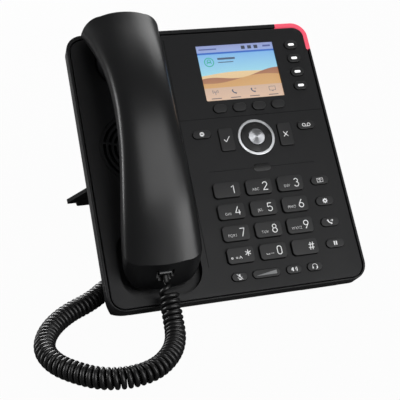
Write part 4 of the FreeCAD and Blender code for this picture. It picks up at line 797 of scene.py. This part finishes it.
def disc_arrows():
    """A faint chevron at each quarter of the navigation disc."""
    strokes = []
    for quarter in range(4):
        turn = quarter * math.pi / 2
        across = np.array([math.cos(turn), math.sin(turn)])
        ahead = np.array([-math.sin(turn), math.cos(turn)])
        tip = ahead * 9.2
        strokes.append(stroke([tip - ahead * 0.7 - across * 1.1, tip, tip - ahead * 0.7 + across * 1.1], 0.3))
    ink("navigation_arrows", mark_mesh("arrows", strokes, face_top("navigation_disc")), "navigation_disc",
        "faint_legend")


LAMP_ROUND = 0.95         # radius of a lamp's ends
LAMP_STRAIGHT = 1.3       # half its straight length
LAMP_TIP = 0.02           # half the width left at its very ends


def line_lamps():
    """A lit window with round ends in each line key: half widths follow a circle at both ends."""
    turn = np.radians(np.linspace(0, 90, 9))
    reach = np.concatenate([-LAMP_STRAIGHT - LAMP_ROUND * np.cos(turn),
                            LAMP_STRAIGHT + LAMP_ROUND * np.cos(turn[::-1])])
    past = np.maximum(np.abs(reach) - LAMP_STRAIGHT, 0)
    half = np.sqrt(np.maximum(LAMP_ROUND ** 2 - past ** 2, LAMP_TIP ** 2))
    grid = np.stack([np.stack([reach, half], -1)] * 2 + [np.stack([reach, -half], -1)] * 2, axis=1)
    level = np.broadcast_to(np.array([0.0, 1.0, 1.0, 0.0])[None, :, None], (len(reach), 4, 1))
    bar = (np.concatenate([grid, level], axis=-1), False)
    for index in range(1, 5):
        node = f"line_key_{index}"
        ink(node + "_lamp", mark_mesh("lamp", [bar], face_top(node)), node, "lamp")


disc_arrows()
dial_legends()
icon_legends()
line_lamps()

# --- what the display shows ---
SCREEN_CENTRE = (31.15, 159.1)
SCREEN_SIZE = (57.6, 43.2)
HALF_SCREEN = SCREEN_SIZE[1] / 2
HEADER_LOW = HALF_SCREEN - 6.0
STRIP_HIGH = -HALF_SCREEN + 10.2
SHEET_ROWS = 7
SKY_LOW = -4
PICTURE_LIFT = 0.02       # how far the lowest sheet stands over the display
LAYER_STEP = 0.05         # and each layer over the last

# each sheet's colour along its lower and its upper edge
SKY_TINTS = ((0.36, 0.72, 0.80), (0.20, 0.45, 0.80))
FAR_TINTS = ((0.74, 0.47, 0.20), (0.80, 0.58, 0.32))
DARK_TINTS = ((0.62, 0.32, 0.13), (0.36, 0.15, 0.08))
NEAR_TINTS = ((0.70, 0.43, 0.18), (0.62, 0.34, 0.13))
STRIP_TINTS = ((0.72, 0.50, 0.36), (0.62, 0.43, 0.32))
HEADER_TINTS = ((0.30, 0.40, 0.70), (0.28, 0.33, 0.60))
LINE_TINT = (0.02, 0.13, 0.55)
HEADER_INK = (0.06, 0.09, 0.30)
LABEL_INK = (0.20, 0.16, 0.15)
MARK_LAYER = 6            # bars and signs lie over every sheet


def paint_mesh(mesh, colours):
    """The tint that the display's material glows with, one colour for each point."""
    paint = mesh.color_attributes.new("tint", "FLOAT_COLOR", "POINT")
    paint.data.foreach_set("color", colours.ravel())


def sheet(name, lower, upper, layer, tints, count=60):
    """A flat band between two curves of u on a layer just over the display, tinted evenly from its lower
    edge's colour to its upper edge's."""
    u = np.linspace(-1, 1, count) * SCREEN_SIZE[0] / 2
    share = np.linspace(0, 1, SHEET_ROWS)[None, :]
    low, high = lower(u)[:, None], upper(u)[:, None]
    v = low + (high - low) * share
    u = np.broadcast_to(u[:, None], v.shape)
    top = face_box("display_module")[1][2]
    n = np.full_like(v, top + PICTURE_LIFT + layer * LAYER_STEP)
    grid = from_face(np.stack([u + SCREEN_CENTRE[0], v + SCREEN_CENTRE[1], n], axis=-1))
    mesh = mesh_from_grids(name, [(grid, False, False)], smooth=False)
    colours = np.ones((count, SHEET_ROWS, 4))
    colours[..., :3] = np.array(tints[0]) + (np.array(tints[1]) - np.array(tints[0])) * share[..., None]
    paint_mesh(mesh, colours)
    ink(name, mesh, "display_module", "display")


def level_line(value):
    return lambda u: np.full_like(u, value)


def wave(height, slope, swell, length, phase):
    return lambda u: height + slope * u + swell * np.sin(u / length + phase)


def tinted_marks(name, strokes, place, colour, layer):
    """Strokes on the display, all of one tint."""
    top = face_box("display_module")[1][2]
    u, v = SCREEN_CENTRE[0] + place[0], SCREEN_CENTRE[1] + place[1]
    mesh = mark_mesh(name, strokes, (u, v, top + layer * LAYER_STEP))
    paint_mesh(mesh, np.tile([*colour, 1.0], len(mesh.vertices)))
    ink(name, mesh, "display_module", "display")


def screen_pieces():
    top = level_line(HALF_SCREEN)
    bottom = level_line(-HALF_SCREEN)
    sheet("screen_sky", level_line(SKY_LOW), level_line(HEADER_LOW), 0, SKY_TINTS, count=2)
    sheet("screen_band_far", bottom, wave(-0.4, 0.04, 0.9, 11.0, 2.2), 1, FAR_TINTS)
    sheet("screen_band_dark", bottom, wave(-3.0, 0.10, 1.9, 8.0, -1.6), 2, DARK_TINTS)
    sheet("screen_band_near", bottom, wave(-5.4, 0.05, 1.7, 10.0, 0.2), 3, NEAR_TINTS)
    sheet("screen_strip", bottom, level_line(STRIP_HIGH), 4, STRIP_TINTS, count=2)
    sheet("screen_header", level_line(HEADER_LOW), top, 4, HEADER_TINTS, count=2)
    sheet("screen_header_line", level_line(HEADER_LOW - 0.9), level_line(HEADER_LOW + 0.5), 5,
          (LINE_TINT, LINE_TINT), count=2)
    dark = (0.02, 0.03, 0.06)
    slate = (0.05, 0.08, 0.14)
    header = HALF_SCREEN - 2.9
    tinted_marks("screen_mode_bar", [dash(-6.5, 6.5, 0, 0.9)], (-20.2, header), HEADER_INK, MARK_LAYER)
    blocks = [dash(left, left + 2.8, 0, 2.6) for left in (4.8, 9.6, 14.4)]
    tinted_marks("screen_status_blocks", blocks, (0, header), dark, MARK_LAYER)
    tinted_marks("screen_clock_bar", [dash(-2.9, 2.9, 0.2, 1.3)], (24.0, header), HEADER_INK, MARK_LAYER)
    sign = [stroke(circle(3.3), 0.7, True), stroke(circle(1.2, (0, 0.8)), 0.6, True),
            stroke(circle(1.9, (0, -1.9), 20, 160, 10), 0.6)]
    tinted_marks("screen_caller_ring", sign, (-21.0, 8.6), (0.03, 0.42, 0.33), MARK_LAYER)
    lines = [dash(-6.5, 6.5, 1.4, 1.5), dash(-6.5, 4.9, -1.4, 0.6)]
    tinted_marks("screen_caller_lines", lines, (-8.0, 9.4), slate, MARK_LAYER)
    aerial = [stroke([(0, -1.6), (0, 1.0)], 0.35), stroke(circle(1.0, (0, 0.9), 130, 230, 8), 0.3),
              stroke(circle(1.0, (0, 0.9), -50, 50, 8), 0.3), stroke(circle(2.0, (0, 0.9), 140, 220, 8), 0.3),
              stroke(circle(2.0, (0, 0.9), -40, 40, 8), 0.3)]
    receiver = [stroke(circle(2.6, (1.0, 1.4), 188, 268, 12), 0.8), stroke([(-1.7, 1.5), (-1.1, 0.8)], 1.1),
                stroke([(0.3, -1.4), (1.2, -1.0)], 1.1)]
    bubble = [stroke(rectangle(4.6, 3.0, (0, 0.3)), 0.35, True),
              stroke([(-0.7, -1.2), (0, -2.0), (0.7, -1.2)], 0.35)]
    for index, strokes in enumerate((aerial, receiver, receiver + [dash(0.8, 2.2, 1.2, 0.4)], bubble)):
        place = (-21.0 + index * 14.0, -HALF_SCREEN + 6.4)
        tinted_marks(f"screen_icon_{index + 1}", strokes, place, slate, MARK_LAYER)
        label = (place[0], -HALF_SCREEN + 2.0)
        tinted_marks(f"screen_label_{index + 1}", [dash(-3.6, 3.6, 0, 0.7)], label, LABEL_INK, MARK_LAYER)


screen_pieces()

# --- floor, backdrop and lights ---
STAGE_TONE = 0.16         # how much light the floor gives back to the object
STAGE_GLOW = 0.97         # how far the camera sees it white
WORLD_STRENGTH = 0.16


def pale_stage_material():
    """Matt white for light that strikes it, and an even white, with the object's shadow, to the camera."""
    material, tree, shader = new_material("stage_white")
    shader.inputs["Base Color"].default_value = (STAGE_TONE, STAGE_TONE, STAGE_TONE, 1)
    shader.inputs["Roughness"].default_value = 0.9
    glow = tree.nodes.new("ShaderNodeEmission")
    glow.inputs["Strength"].default_value = 1.0
    rays = tree.nodes.new("ShaderNodeLightPath")
    blend = tree.nodes.new("ShaderNodeMixShader")
    output = tree.nodes["Material Output"]
    share = math_node(tree, "MULTIPLY", rays.outputs["Is Camera Ray"], STAGE_GLOW)
    tree.links.new(share, blend.inputs[0])
    tree.links.new(shader.outputs["BSDF"], blend.inputs[1])
    tree.links.new(glow.outputs["Emission"], blend.inputs[2])
    tree.links.new(blend.outputs["Shader"], output.inputs["Surface"])
    return material


def make_floor():
    side = np.linspace(-4.0, 4.0, 2)
    x, y = np.meshgrid(side, side, indexing="ij")
    grid = np.stack([x, y, np.full_like(x, -0.0002)], axis=-1)
    floor = add_object("floor", mesh_from_grids("floor", [(grid, False, False)]), None, pale_stage_material())


LIT_PLACE = (0, 0, 0.08)
STUDIO_LIGHTS = [
    # name, place, width, height, power
    ("key_light", (0.34, -1.00, 0.98), 0.8, 0.8, 6.5),
    ("right_box", (0.70, -0.95, 0.28), 0.7, 0.5, 6),
    ("left_strip", (-1.12, 0.24, 0.26), 0.22, 0.9, 8),
    ("rear_box", (0.60, 0.75, 0.95), 0.8, 0.8, 6),
    ("rear_fill", (-0.10, 1.45, 0.40), 0.7, 0.7, 18),
]


def area_light(name, place, width, height, power):
    """A soft box at a place, turned towards the object."""
    data = bpy.data.lights.new(name, "AREA")
    data.shape = "RECTANGLE"
    data.size = width
    data.size_y = height
    data.energy = power
    lamp = bpy.data.objects.new(name, data)
    back = unit(np.array(place, float) - np.array(LIT_PLACE, float))
    right = unit(np.cross((0.0, 0.0, 1.0), back))
    up = np.cross(back, right)
    rows = [[right[i], up[i], back[i], place[i]] for i in range(3)]
    lamp.matrix_world = Matrix(rows + [[0, 0, 0, 1]])
    bpy.context.scene.collection.objects.link(lamp)


def make_world():
    world = bpy.data.worlds.new("studio")
    bpy.context.scene.world = world
    world.use_nodes = True
    tree = world.node_tree
    background = tree.nodes["Background"]
    background.inputs["Color"].default_value = (1, 1, 1, 1)
    rays = tree.nodes.new("ShaderNodeLightPath")
    seen = math_node(tree, "MAXIMUM", rays.outputs["Is Camera Ray"], rays.outputs["Is Transmission Ray"])
    tree.links.new(range_node(tree, seen, 0.0, 1.0, WORLD_STRENGTH, 1.0), background.inputs["Strength"])


make_floor()
make_world()
for light in STUDIO_LIGHTS:
    area_light(*light)
bpy.context.scene.view_settings.view_transform = "Standard"
